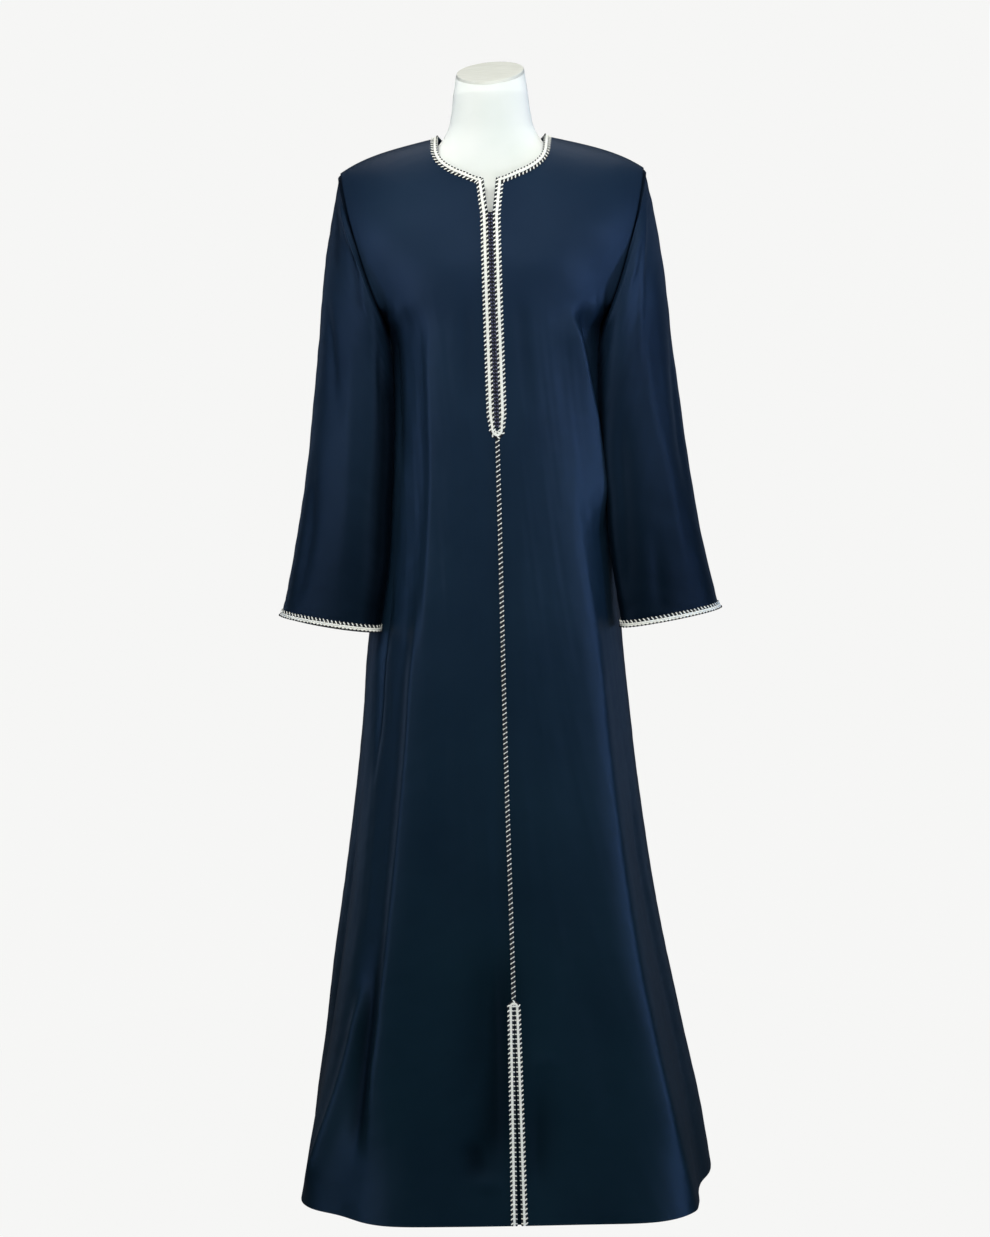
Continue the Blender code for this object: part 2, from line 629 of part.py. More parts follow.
def dress_form():
    """The limbless bust with its sloping neck cap, on a pole and a round foot."""
    _, half, front, back = FORM[0]
    under = oval(half * 0.72, front * 0.72, back * 0.72, FORM_UNDER)
    rings = [under] + [oval(half, front, back, z) for z, half, front, back in FORM]
    top = oval(NECK_HALF_TOP, NECK_DEEP_TOP, NECK_DEEP_TOP - 0.004, 0.0, 2.0)
    loft("form_bust", np.array(rings + [sloped(top)]), SHELL)
    edge = oval(NECK_HALF_TOP, NECK_DEEP_TOP, NECK_DEEP_TOP - 0.004, SEAM, 2.0)
    inset = 0.001
    upper = oval(
        NECK_HALF_TOP - inset, NECK_DEEP_TOP - inset, NECK_DEEP_TOP - 0.004 - inset, CAP_HIGH, 2.0
    )
    loft("neck_cap", np.array([sloped(edge), sloped(upper)]), CAP)
    upright("stand_pole", POLE_RADIUS, FOOT_HIGH + SEAM, FORM_UNDER - SEAM, 16)
    foot = upright("stand_foot", FOOT_RADIUS, 0.0, FOOT_HIGH, 40)
    rounding = foot.modifiers.new("rounded_edges", "BEVEL")
    rounding.width = FOOT_EDGE
    rounding.segments = 2
    rounding.limit_method = "ANGLE"
    rounding.angle_limit = math.radians(40)


def upright(name, radius, low, high, sides):
    """A round bar standing on the axis from one height to another."""
    bpy.ops.mesh.primitive_cylinder_add(
        vertices=sides, radius=radius, depth=high - low, location=(0, 0, (low + high) / 2)
    )
    made = bpy.context.object
    made.name = name
    made.data.name = name
    made.data.materials.append(material(name, STEEL))
    for holder in list(made.users_collection):
        holder.objects.unlink(made)
    ROBE.objects.link(made)
    return made


def armhole_lean(front, back, rings):
    """Gives the panels and the sleeve one shared lean along the armhole seam. `front` and `back` are the
    panels' (points, normals) as on the right side, and the sleeve's normals are returned."""
    first = len(SKIRT_ROWS) - 1
    last = first + sum(1 for v in YOKE_ROWS if v <= TIP_ROW)
    half = last - first + 1
    leans = ring_normals(rings)
    edge = leans[0].copy()
    front_edge = front[1][first : last + 1, -1]
    back_edge = back[1][first : last + 1, -1]
    panel = np.concatenate([front_edge, back_edge[-2:0:-1]])
    leans[0] = mitre(edge, panel)
    front[1][first + 1 : last + 1, -1] = mitre(panel[1:half], edge[1:half])
    back[1][first + 1 : last + 1, -1] = mitre(panel[half - 1 :], edge[half - 1 :])[::-1]
    return leans


def sleeve(side, front, back):
    """Points and normals of one sleeve, joined to its panels' armhole edges."""
    first = len(SKIRT_ROWS) - 1
    last = first + sum(1 for v in YOKE_ROWS if v <= TIP_ROW)
    across = np.array([side, 1, 1])
    own_front = (front[0] * across, front[1] * across)
    own_back = (back[0] * across, back[1] * across)
    edges = [grid[0][first : last + 1, -1] for grid in (own_front, own_back)]
    rings = sleeve_rings(side, *edges)
    leans = armhole_lean(own_front, own_back, rings)
    front[1][:] = own_front[1] * across
    back[1][:] = own_back[1] * across
    return rings * across, leans * across


def robe():
    """The cut cloth pieces, and the braids and the cord made from their points."""
    fronts = {side: front_half(side) for side in (1, -1)}
    backs = {side: back_half(side) for side in (1, -1)}
    for side, name in ((1, "right"), (-1, "left")):
        rings, leans = sleeve(side, fronts[side], backs[side])
        wall("sleeve_" + name, rings, rings - leans * CLOTH, NAVY, ring=True)
        cuff = rings[-2:]
        lift = leans[-2:]
        wall("cuff_braid_" + name, cuff + lift * (SEAM + BRAID), cuff + lift * SEAM, CREAM, ring=True)
        points, normals = fronts[side]
        wall("front_" + name, points, points - normals * CLOTH, NAVY)
    points = np.concatenate([backs[1][0][:, ::-1], backs[-1][0][:, 1:]], 1)
    normals = np.concatenate([backs[1][1][:, ::-1], backs[-1][1][:, 1:]], 1)
    wall("back", points, points - normals * CLOTH, NAVY)
    placket_braid(fronts)
    knot_column(fronts[1][0][:, 1, 2])
    centre_cord()
    slit_braid()
    neck_braid(fronts, backs)


def neck_braid(fronts, backs):
    """The braid round the neck's edge, from one corner of the slit round the back to the other."""
    pieces = []
    leans = []
    for grid, lean, keep in (
        (fronts[-1][0], fronts[-1][1], slice(2, None)),
        (backs[-1][0], backs[-1][1], slice(-2, 0, -1)),
        (backs[1][0], backs[1][1], slice(0, -1)),
        (fronts[1][0], fronts[1][1], slice(None, 1, -1)),
    ):
        pieces.append(grid[-2:, keep])
        leans.append(lean[-2:, keep])
    points = np.concatenate(pieces, 1)
    normals = np.concatenate(leans, 1)
    for end, step in ((0, 1), (-1, -1)):
        points[:, end] += unit(points[:, end + step] - points[:, end]) * SEAM * 1.2
    turned = range(pieces[0].shape[1] - 1, points.shape[1])
    lift = SEAM * 1.3
    wall("neck_braid", points + normals * (lift + BRAID), points + normals * lift, CREAM, turned=turned)


for old in list(bpy.data.objects):
    bpy.data.objects.remove(old, do_unlink=True)
ROBE = bpy.data.collections.new("djellaba_robe")
bpy.context.scene.collection.children.link(ROBE)
robe()
dress_form()
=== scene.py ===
"""Looks of a long djellaba robe on a limbless dress form.

Metres, +Z up. The robe faces -Y and stands over the origin. "Right" is the +X half. The cloth, the
braids, the cord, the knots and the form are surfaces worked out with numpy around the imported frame.
"""

from __future__ import annotations

import json
import logging
import math
from collections.abc import Sequence
from dataclasses import dataclass, field
from enum import Enum

import bpy
import numpy as np
from mathutils import Matrix, Vector

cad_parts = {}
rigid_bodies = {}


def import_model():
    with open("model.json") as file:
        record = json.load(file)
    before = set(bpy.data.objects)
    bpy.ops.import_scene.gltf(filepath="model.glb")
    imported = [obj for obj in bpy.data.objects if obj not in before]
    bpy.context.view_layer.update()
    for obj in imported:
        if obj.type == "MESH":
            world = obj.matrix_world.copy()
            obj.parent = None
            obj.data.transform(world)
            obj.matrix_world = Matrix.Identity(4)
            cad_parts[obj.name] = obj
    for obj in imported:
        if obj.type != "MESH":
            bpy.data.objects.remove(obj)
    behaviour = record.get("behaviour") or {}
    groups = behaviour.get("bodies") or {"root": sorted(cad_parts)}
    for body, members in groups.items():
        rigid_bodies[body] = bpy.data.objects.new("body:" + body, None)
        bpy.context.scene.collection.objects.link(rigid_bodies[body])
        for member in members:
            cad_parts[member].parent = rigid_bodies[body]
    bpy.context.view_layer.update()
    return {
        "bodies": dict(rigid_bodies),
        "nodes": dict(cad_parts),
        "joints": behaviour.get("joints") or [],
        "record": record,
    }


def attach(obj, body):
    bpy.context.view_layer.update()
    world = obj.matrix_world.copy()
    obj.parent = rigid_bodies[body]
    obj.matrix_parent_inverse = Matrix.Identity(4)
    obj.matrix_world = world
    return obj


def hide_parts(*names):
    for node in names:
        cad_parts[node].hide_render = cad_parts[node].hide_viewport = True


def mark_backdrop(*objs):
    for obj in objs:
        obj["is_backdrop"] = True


LOG = logging.getLogger("djellaba")
Array = np.ndarray
Row = tuple[float, ...]

SEAM = 0.0003  # space that neighbouring pieces keep
PAINTED_SHADE = "painted_shade"  # attribute of the cloth: painted shade at each point, 0 to 1


class Side(Enum):
    """The two halves of the robe; the value is the sign of X."""

    RIGHT = 1
    LEFT = -1

    @property
    def word(self) -> str:
        """The half's name as the pieces spell it."""
        return self.name.lower()


class Shine(Enum):
    """What a light gives: both kinds of light, only even light, or only highlights."""

    BOTH = (True, True)
    EVEN = (True, False)
    HIGHLIGHT = (False, True)


class Slot(Enum):
    """The record's material slots."""

    CREPE = "navy_crepe"
    BRAID = "cream_braid"
    KNOT = "navy_knot_silk"
    SHELL = "white_shell"
    CAP = "cap_paint"
    STEEL = "brushed_steel"


# ---------------------------------------------------------------------------------------------
# Arithmetic on whole arrays


def smooth(knots: Sequence[float], values: Sequence[float] | Array, at: float | Array) -> Array:
    """Runs a smooth curve through a table.

    Between two knots the value is the cubic that takes both values and both slopes; a knot's slope
    is worked out from its neighbours.

    Args:
        knots: Rising places of the table's rows.
        values: One value, or one array of values, for each knot.
        at: Places to read.

    Returns:
        The values at those places.
    """
    places = np.asarray(knots, float)
    table = np.asarray(values, float)
    slopes = np.gradient(table, places, axis=0)
    at = np.asarray(at, float)
    k = np.clip(np.searchsorted(places, at) - 1, 0, len(places) - 2)
    step = places[k + 1] - places[k]
    t = np.clip((at - places[k]) / step, 0.0, 1.0)
    spare = (1,) * (table.ndim - 1)
    t = t.reshape(t.shape + spare)
    step = step.reshape(step.shape + spare)
    start = (2 * t**3 - 3 * t**2 + 1) * table[k] + (t**3 - 2 * t**2 + t) * step * slopes[k]
    return start + (3 * t**2 - 2 * t**3) * table[k + 1] + (t**3 - t**2) * step * slopes[k + 1]


def column(table: Sequence[Row], names: Sequence[str], name: str) -> list[float]:
    """One named column of a table of rows."""
    return [row[names.index(name)] for row in table]


def ease(value: float | Array, low: float = 0.0, high: float = 1.0) -> Array:
    """Rises from 0 at `low` to 1 at `high` with level ends: 3t^2 - 2t^3."""
    t = np.clip((np.asarray(value, float) - low) / (high - low), 0.0, 1.0)
    return t * t * (3 - 2 * t)


def bell(value: Array, middle: float | Array, wide: float | Array) -> Array:
    """A bell curve of height 1, exp(-(distance / wide)^2)."""
    return np.exp(-(((value - middle) / wide) ** 2))


def unit(vectors: Array) -> Array:
    """The vectors at length 1."""
    return vectors / np.maximum(np.linalg.norm(vectors, axis=-1, keepdims=True), 1e-12)


def grid_normals(points: Array, ring: bool = False) -> Array:
    """Normals of a grid of points: the cross product of the steps across and along it.

    Args:
        points: Rows x columns x 3.
        ring: Whether the last column is followed by the first.

    Returns:
        Unit vectors, rows x columns x 3.
    """
    along = np.gradient(points, axis=0)
    if ring:
        across = np.roll(points, -1, 1) - np.roll(points, 1, 1)
    else:
        across = np.gradient(points, axis=1)
    return unit(np.cross(across, along))


def lengths_across(points: Array) -> Array:
    """Length of cloth from the first column to each other one, row by row."""
    steps = np.linalg.norm(np.diff(points, axis=1), axis=-1)
    return np.concatenate([np.zeros((len(points), 1)), steps.cumsum(axis=1)], 1)


def lengths_on(points: Array) -> Array:
    """Length of cloth from each row of points on to the last row, column by column.

    Args:
        points: Rows x columns x 3.

    Returns:
        Rows x columns of lengths, zero in the last row.
    """
    steps = np.linalg.norm(np.diff(points, axis=0), axis=-1)
    return np.concatenate([steps[::-1].cumsum(axis=0)[::-1], np.zeros((1, points.shape[1]))])


def ripple(seed: int, across: Array, along: Array, pitch: float, count: int = 9) -> Array:
    """Soft uneven waves between -1 and 1: a sum of plane waves of random turn, pitch and place.

    Args:
        seed: Which waves.
        across: First coordinate, in metres.
        along: Second coordinate, in metres.
        pitch: Mean length of a wave, in metres.
        count: How many waves are added.

    Returns:
        The height of the waves at each place.
    """
    draw = np.random.default_rng(seed)
    turn = draw.uniform(0, np.pi, count)
    wave = 2 * np.pi / (pitch * draw.uniform(0.6, 1.7, count))
    phase = draw.uniform(0, 2 * np.pi, count)
    total = np.zeros(np.broadcast(across, along).shape)
    for angle, number, start in zip(turn, wave, phase):
        total += np.sin(number * (across * math.cos(angle) + along * math.sin(angle)) + start)
    return total / math.sqrt(count) / 1.4


# ---------------------------------------------------------------------------------------------
# Meshes


def grid_quads(rows: int, cols: int, ring: bool = False, first: int = 0) -> Array:
    """Corner numbers of the cells of a grid of points.

    Args:
        rows: Number of rows of points.
        cols: Number of columns of points.
        ring: Whether the last column is joined to the first.
        first: Number of the grid's first point.

    Returns:
        Cells x 4 corner numbers.
    """
    r, c = np.meshgrid(np.arange(rows - 1), np.arange(cols if ring else cols - 1), indexing="ij")
    d = (c + 1) % cols
    cells = np.stack([r * cols + c, r * cols + d, (r + 1) * cols + d, (r + 1) * cols + c], -1)
    return cells.reshape(-1, 4) + first


def rim_quads(edge: Array, other: Array, ring: bool = False) -> Array:
    """Cells that join two lines of points, given by their numbers.

    Args:
        edge: Numbers of the first line's points.
        other: Numbers of the second's.
        ring: Whether the lines close on themselves.

    Returns:
        The cells' corners, four a row.
    """
    if ring:
        edge = np.append(edge, edge[0])
        other = np.append(other, other[0])
    return np.stack([edge[:-1], other[:-1], other[1:], edge[1:]], -1)


@dataclass
class Piece:
    """A mesh in the making.

    Attributes:
        name: The object's name.
        points: Points x 3, in metres.
        quads: Cells x 4 corner numbers.
        ends: Faces with more corners, such as caps.
        uv: Two cloth coordinates for each point, in metres, or None.
        shade: Painted shade at each point, from 0 to 1, or None.
    """

    name: str
    points: Array
    quads: Array
    ends: list[tuple[int, ...]] = field(default_factory=list)
    uv: Array | None = None
    shade: Array | None = None

    def volume(self) -> float:
        """Signed volume of the closed mesh, from the first three corners' fans of every face.

        Returns:
            The volume, negative when the faces point inwards.
        """
        a, b, c, d = (self.points[self.quads[:, k]] for k in range(4))
        total = np.einsum("ij,ij->i", a, np.cross(b, c)).sum()
        total += np.einsum("ij,ij->i", a, np.cross(c, d)).sum()
        return float(total / 6)

    def build(self, material: bpy.types.Material, sharp: float = 60.0) -> bpy.types.Object:
        """Makes the object, its faces pointing outwards.

        Args:
            material: Its finish.
            sharp: Degrees between two faces past which their edge stays sharp.

        Returns:
            The object, at the origin and linked to the scene.
        """
        if self.volume() < 0:
            self.quads = self.quads[:, ::-1]
            self.ends = [face[::-1] for face in self.ends]
        mesh = bpy.data.meshes.new(self.name)
        mesh.from_pydata(self.points.tolist(), [], self.quads.tolist() + self.ends)
        if self.uv is not None:
            corners = np.empty(len(mesh.loops), np.int32)
            mesh.loops.foreach_get("vertex_index", corners)
            layer = mesh.uv_layers.new(name="cloth")
            layer.data.foreach_set("uv", self.uv[corners].astype(np.float32).ravel())
        if self.shade is not None:
            depth = mesh.attributes.new(PAINTED_SHADE, "FLOAT", "POINT")
            depth.data.foreach_set("value", self.shade.astype(np.float32).ravel())
        mesh.validate()
        mesh.update()
        mesh.shade_smooth()
        mesh.set_sharp_from_angle(angle=math.radians(sharp))
        mesh.materials.append(material)
        made = bpy.data.objects.new(self.name, mesh)
        bpy.context.scene.collection.objects.link(made)
        return made


def cloth_wall(name: str, outer: Array, inner: Array, shade: Array, ring: bool = False) -> Piece:
    """Closes two grids of points into one wall of cloth.

    Args:
        name: The piece's name.
        outer: Outer face, rows x columns x 3.
        inner: Inner face, the same way.
        shade: Painted shade at each place, rows x columns.
        ring: Whether the columns go all round.

    Returns:
        The piece, with the length of cloth across and along as its UV map.
    """
    rows, cols = outer.shape[:2]
    numbers = np.arange(rows * cols).reshape(rows, cols)
    other = numbers + rows * cols
    quads = [
        grid_quads(rows, cols, ring),
        grid_quads(rows, cols, ring, rows * cols)[:, ::-1],
        rim_quads(numbers[0], other[0], ring),
        rim_quads(numbers[-1], other[-1], ring)[:, ::-1],
    ]
    if not ring:
        quads.append(rim_quads(numbers[:, 0], other[:, 0])[:, ::-1])
        quads.append(rim_quads(numbers[:, -1], other[:, -1]))
    across = lengths_across(outer)
    along = lengths_across(outer.transpose(1, 0, 2)).T
    uv = np.stack([across - across.mean(axis=1, keepdims=True), along], -1).reshape(-1, 2)
    points = np.concatenate([outer.reshape(-1, 3), inner.reshape(-1, 3)])
    depth = np.concatenate([shade.ravel(), shade.ravel()])
    return Piece(name, points, np.concatenate(quads), uv=np.concatenate([uv, uv]), shade=depth)


def lofted(name: str, rings: Array, closed: bool = False) -> Piece:
    """A solid through rings of points.

    Args:
        name: The piece's name.
        rings: Rings x points x 3.
        closed: Whether the last ring is joined to the first; otherwise both ends are capped.

    Returns:
        The piece.
    """
    rows, cols = rings.shape[:2]
    quads = grid_quads(rows, cols, ring=True)
    ends: list[tuple[int, ...]] = []
    if closed:
        last = (rows - 1) * cols
        c = np.arange(cols)
        d = (c + 1) % cols
        quads = np.concatenate([quads, np.stack([last + c, last + d, d, c], -1)])
    else:
        ends = [tuple(range(cols - 1, -1, -1)), tuple(range((rows - 1) * cols, rows * cols))]
    return Piece(name, rings.reshape(-1, 3), quads, ends)


def merged(name: str, pieces: Sequence[Piece]) -> Piece:
    """Several closed meshes as one piece, each turned to face outwards first.

    Args:
        name: Name of the piece.
        pieces: The meshes.

    Returns:
        The piece.
    """
    points: list[Array] = []
    quads: list[Array] = []
    ends: list[tuple[int, ...]] = []
    count = 0
    for piece in pieces:
        flip = -1 if piece.volume() < 0 else 1
        points.append(piece.points)
        quads.append(piece.quads[:, ::flip] + count)
        ends += [tuple(count + k for k in face[::flip]) for face in piece.ends]
        count += len(piece.points)
    return Piece(name, np.concatenate(points), np.concatenate(quads), ends)


# ---------------------------------------------------------------------------------------------
# Finishes


def linear(hex_colour: str) -> tuple[float, float, float, float]:
    """Turns an sRGB hex colour, such as "#203040", to linear red, green, blue and alpha.

    Args:
        hex_colour: The colour.

    Returns:
        The four linear values.
    """
    parts = np.array([int(hex_colour[k : k + 2], 16) for k in (1, 3, 5)]) / 255
    low = parts / 12.92
    high = ((parts + 0.055) / 1.055) ** 2.4
    return (*np.where(parts <= 0.04045, low, high).tolist(), 1.0)


def fill_inputs(
    tree: bpy.types.NodeTree, node: bpy.types.Node, inputs: dict[object, object]
) -> None:
    """Fills a node's sockets.

    Args:
        tree: The material's tree.
        node: The node.
        inputs: Socket names or numbers, each with a value or with the socket to link from.
    """
    for socket, value in inputs.items():
        if isinstance(value, bpy.types.NodeSocket):
            tree.links.new(value, node.inputs[socket])
        else:
            node.inputs[socket].default_value = value


def add_node(
    tree: bpy.types.NodeTree, kind: str, settings: dict[str, object], inputs: dict[object, object]
) -> bpy.types.Node:
    """Adds a node with its settings and links.

    Args:
        tree: The material's tree.
        kind: The node's type, without its "ShaderNode".
        settings: Property names and their values.
        inputs: Socket names or numbers, each with a value or with the socket to link from.

    Returns:
        The node.
    """
    made = tree.nodes.new(f"ShaderNode{kind}")
    for name, value in settings.items():
        setattr(made, name, value)
    fill_inputs(tree, made, inputs)
    return made


def new_material(name: str) -> tuple[bpy.types.Material, bpy.types.NodeTree, bpy.types.Node]:
    """A new material, its tree and its Principled shader.

    Args:
        name: The material's name.

    Returns:
        The three.
    """
    made = bpy.data.materials.new(name)
    made.use_nodes = True
    return made, made.node_tree, made.node_tree.nodes["Principled BSDF"]


def set_ramp(ramp: bpy.types.Node, stops: Sequence[tuple[float, str]]) -> None:
    """Gives a colour ramp its two stops, each a place from 0 to 1 and a hex colour.

    Args:
        ramp: The ramp's node.
        stops: The stops.
    """
    for element, (place, colour) in zip(ramp.color_ramp.elements, stops):
        element.position = place
        element.color = linear(colour)


# A wave texture of scale 1 repeats every 0.314 m.
WAVE_REPEAT = 0.314


@dataclass(frozen=True)
class Crepe:
    """Woven polyester crepe.

    High-twist yarn gives the face a fine pebbled grain, and its smooth filaments a soft satin shine
    that runs along every fold. The real grain is 0.4 mm; it is drawn at 1.1 mm to show at all. The
    colour carries painted shade: darker and greener towards the hem, and darker in the folds, behind
    the sleeves and along the armholes.

    Attributes:
        name: The material's name.
        colour: The lighter navy.
        deep_colour: The darker navy.
        shine_colour: Tint of the highlights.
        sheen_colour: Tint of the fibres' glow at the edges.
        grain: Size of the pebbled grain, in metres.
        thread: Spacing of the threads, in metres.
        cloud: Size of the clouds of the two navies, in metres.
        relief: Depth of grain and weave, in metres.
        relief_strength: How strongly they turn the light.
        shine: Level of the highlights.
        fold_shade_share: Share of colour and shine taken by full painted shade.
        low_painted_shade: The painted shade, greenish, that the colour is multiplied by at the hem.
        low_z: Height up to which that painted shade is full.
        high_z: Height from which it is gone.
        roughness: Spread of the highlights.
        ior: Refractive index of polyester's surface.
        sheen: Strength of the fibres' glow.
        sheen_roughness: Its spread.
    """

    name: str = "woven_navy_crepe"
    colour: str = "#19293a"
    deep_colour: str = "#142334"
    shine_colour: str = "#b2ccff"
    sheen_colour: str = "#4f78a8"
    grain: float = 0.0011
    thread: float = 0.0009
    cloud: float = 0.16
    relief: float = 0.0003
    relief_strength: float = 0.22
    shine: float = 0.27
    fold_shade_share: float = 0.85
    low_painted_shade: str = "#93c6b4"
    low_z: float = 0.30
    high_z: float = 1.20
    roughness: float = 0.38
    ior: float = 1.5
    sheen: float = 0.02
    sheen_roughness: float = 0.35

    def make(self) -> bpy.types.Material:
        """Builds the material.

        Colour: two navy tones mixed by broad clouds, multiplied by a painted shade that darkens it
        towards the hem by height, and by one less `fold_shade_share` times the painted shade
        attribute,
        which also takes down the shine. Bump: crepe grain from noise over the cloth's own
        coordinates, added to the product of two sets of fine bands for warp and weft.

        Returns:
            The material.
        """
        made, tree, shader = new_material(self.name)
        place = add_node(tree, "TexCoord", {}, {})
        spot, cloth = place.outputs["Object"], place.outputs["UV"]
        cloud = add_node(
            tree, "TexNoise", {}, {"Vector": spot, "Scale": 1 / self.cloud, "Detail": 3.0}
        )
        tone = add_node(tree, "ValToRGB", {}, {0: cloud.outputs["Fac"]})
        set_ramp(tone, ((0.32, self.deep_colour), (0.68, self.colour)))
        grain = add_node(
            tree, "TexNoise", {}, {"Vector": cloth, "Scale": 1 / self.grain, "Detail": 2.0}
        )
        bands = {"Vector": cloth, "Scale": WAVE_REPEAT / self.thread, "Distortion": 0.6}
        warp = add_node(tree, "TexWave", {"bands_direction": "X"}, bands)
        weft = add_node(tree, "TexWave", {"bands_direction": "Y"}, bands)
        times = {"operation": "MULTIPLY"}
        weave = add_node(tree, "Math", times, {0: warp.outputs["Fac"], 1: weft.outputs["Fac"]})
        relief = add_node(
            tree, "Math", {"operation": "ADD"}, {0: grain.outputs["Fac"], 1: weave.outputs["Value"]}
        )
        bump = add_node(tree, "Bump", {}, {
            "Height": relief.outputs["Value"],
            "Strength": self.relief_strength,
            "Distance": self.relief,
        })
        # Painted shade: the colour darkens, and turns greener, towards the hem.
        parts = add_node(tree, "SeparateXYZ", {}, {"Vector": spot})
        rise = add_node(tree, "MapRange", {}, {
            "Value": parts.outputs["Z"], "From Min": self.low_z, "From Max": self.high_z,
        })
        fall = add_node(tree, "ValToRGB", {}, {0: rise.outputs["Result"]})
        set_ramp(fall, ((0.0, self.low_painted_shade), (1.0, "#ffffff")))
        hem_shaded = add_node(
            tree,
            "Mix",
            {"data_type": "RGBA", "blend_type": "MULTIPLY"},
            {0: 1.0, 6: tone.outputs["Color"], 7: fall.outputs["Color"]},
        )
        # Painted shade: the colour and the shine darken where the painted shade attribute is high.
        depth = add_node(tree, "Attribute", {"attribute_name": PAINTED_SHADE}, {})
        keep = add_node(
            tree,
            "Math",
            {"operation": "MULTIPLY_ADD"},
            {0: depth.outputs["Fac"], 1: -self.fold_shade_share, 2: 1.0},
        ).outputs["Value"]
        shaded_colour = add_node(tree, "HueSaturation", {}, {"Color": hem_shaded.outputs[2], "Value": keep})
        shine = add_node(tree, "Math", times, {0: keep, 1: self.shine})
        fill_inputs(tree, shader, {
            "Base Color": shaded_colour.outputs["Color"],
            "Specular IOR Level": shine.outputs["Value"],
            "Normal": bump.outputs["Normal"],
            "Roughness": self.roughness,
            "IOR": self.ior,
            "Specular Tint": linear(self.shine_colour),
            "Sheen Weight": self.sheen,
            "Sheen Roughness": self.sheen_roughness,
            "Sheen Tint": linear(self.sheen_colour),
        })
        return made


@dataclass(frozen=True)
class Silk:
    """Spun rayon silk, plied and braided.

    The plies give a fine slanting thread line, and the filaments a mild shine. One such finish is
    made for each colour of thread. The thread line is drawn at 0.5 mm.

    Attributes:
        name: The material's name.
        colour: The thread's colour.
        shade_colour: Its colour between the plies, painted shade.
        roughness: Spread of the highlights.
        sheen: Strength of the fibres' glow.
        thread: Spacing of the plies, in metres.
        relief: Their depth, in metres.
        fluff: Size of the loose fibres' noise, in metres.
    """

    name: str
    colour: str
    shade_colour: str
    roughness: float = 0.55
    sheen: float = 0.2
    thread: float = 0.0005
    relief: float = 0.00012
    fluff: float = 1 / 420

    def make(self) -> bpy.types.Material:
        """Builds the material: slanting plies and fibre noise, with painted shade where they are low.

        Returns:
            The material.
        """
        made, tree, shader = new_material(self.name)
        spot = add_node(tree, "TexCoord", {}, {}).outputs["Object"]
        plies = add_node(
            tree,
            "TexWave",
            {"bands_direction": "DIAGONAL"},
            {"Vector": spot, "Scale": WAVE_REPEAT / self.thread, "Distortion": 3.0},
        )
        fluff = add_node(
            tree, "TexNoise", {}, {"Vector": spot, "Scale": 1 / self.fluff, "Detail": 4.0}
        )
        mixed = add_node(
            tree,
            "Math",
            {"operation": "MULTIPLY_ADD"},
            {0: plies.outputs["Fac"], 1: 0.45, 2: fluff.outputs["Fac"]},
        ).outputs["Value"]
        tone = add_node(tree, "ValToRGB", {}, {0: mixed})
        set_ramp(tone, ((0.30, self.shade_colour), (0.62, self.colour)))
        bump = add_node(
            tree, "Bump", {}, {"Height": mixed, "Strength": 0.5, "Distance": self.relief}
        )
        fill_inputs(tree, shader, {
            "Base Color": tone.outputs["Color"],
            "Normal": bump.outputs["Normal"],
            "Roughness": self.roughness,
            "Sheen Weight": self.sheen,
        })
        return made


@dataclass(frozen=True)
class MouldedShell:
    """Glass-fibre shell with a sprayed satin lacquer: even, with a faint waviness in its shine."""

    name: str = "lacquered_white_shell"
    colour: str = "#ebede8"
    shade_colour: str = "#e3e7e0"
    roughness: float = 0.48
    shine: float = 0.2
    matt: float = 1.0
    peel_deep: float = 0.0002

    def make(self) -> bpy.types.Material:
        """Builds the material: two off-whites in broad clouds and a fine orange-peel bump.

        Returns:
            The material.
        """
        made, tree, shader = new_material(self.name)
        spot = add_node(tree, "TexCoord", {}, {}).outputs["Object"]
        cloud = add_node(tree, "TexNoise", {}, {"Vector": spot, "Scale": 14.0, "Detail": 2.0})
        tone = add_node(tree, "ValToRGB", {}, {0: cloud.outputs["Fac"]})
        set_ramp(tone, ((0.3, self.shade_colour), (0.7, self.colour)))
        peel = add_node(tree, "TexNoise", {}, {"Vector": spot, "Scale": 320.0, "Detail": 2.0})
        bump = add_node(
            tree,
            "Bump",
            {},
            {"Height": peel.outputs["Fac"], "Strength": 0.12, "Distance": self.peel_deep},
        )
        fill_inputs(tree, shader, {
            "Base Color": tone.outputs["Color"],
            "Normal": bump.outputs["Normal"],
            "Roughness": self.roughness,
            "Specular IOR Level": self.shine,
            "Diffuse Roughness": self.matt,
        })
        return made


@dataclass(frozen=True)
class CapPaint:
    """Matt paint over a sanded wooden disc: grey-beige, with a little tooth from the brush."""

    name: str = "painted_neck_cap"
    colour: str = "#d8d9ce"
    shade_colour: str = "#cecfc3"
    roughness: float = 0.6
    streak: Row = (40.0, 260.0, 260.0)
    tooth: float = 0.0002

    def make(self) -> bpy.types.Material:
        """Builds the material: streaked tone and bump.

        Returns:
            The material.
        """
        made, tree, shader = new_material(self.name)
        spot = add_node(tree, "TexCoord", {}, {}).outputs["Object"]
        stretch = add_node(tree, "Mapping", {}, {"Vector": spot, "Scale": self.streak})
        streak = add_node(
            tree, "TexNoise", {}, {"Vector": stretch.outputs["Vector"], "Scale": 1.0}
        ).outputs["Fac"]
        tone = add_node(tree, "ValToRGB", {}, {0: streak})
        set_ramp(tone, ((0.3, self.shade_colour), (0.7, self.colour)))
        bump = add_node(
            tree, "Bump", {}, {"Height": streak, "Strength": 0.2, "Distance": self.tooth}
        )
        fill_inputs(tree, shader, {
            "Base Color": tone.outputs["Color"],
            "Normal": bump.outputs["Normal"],
            "Roughness": self.roughness,
        })
        return made


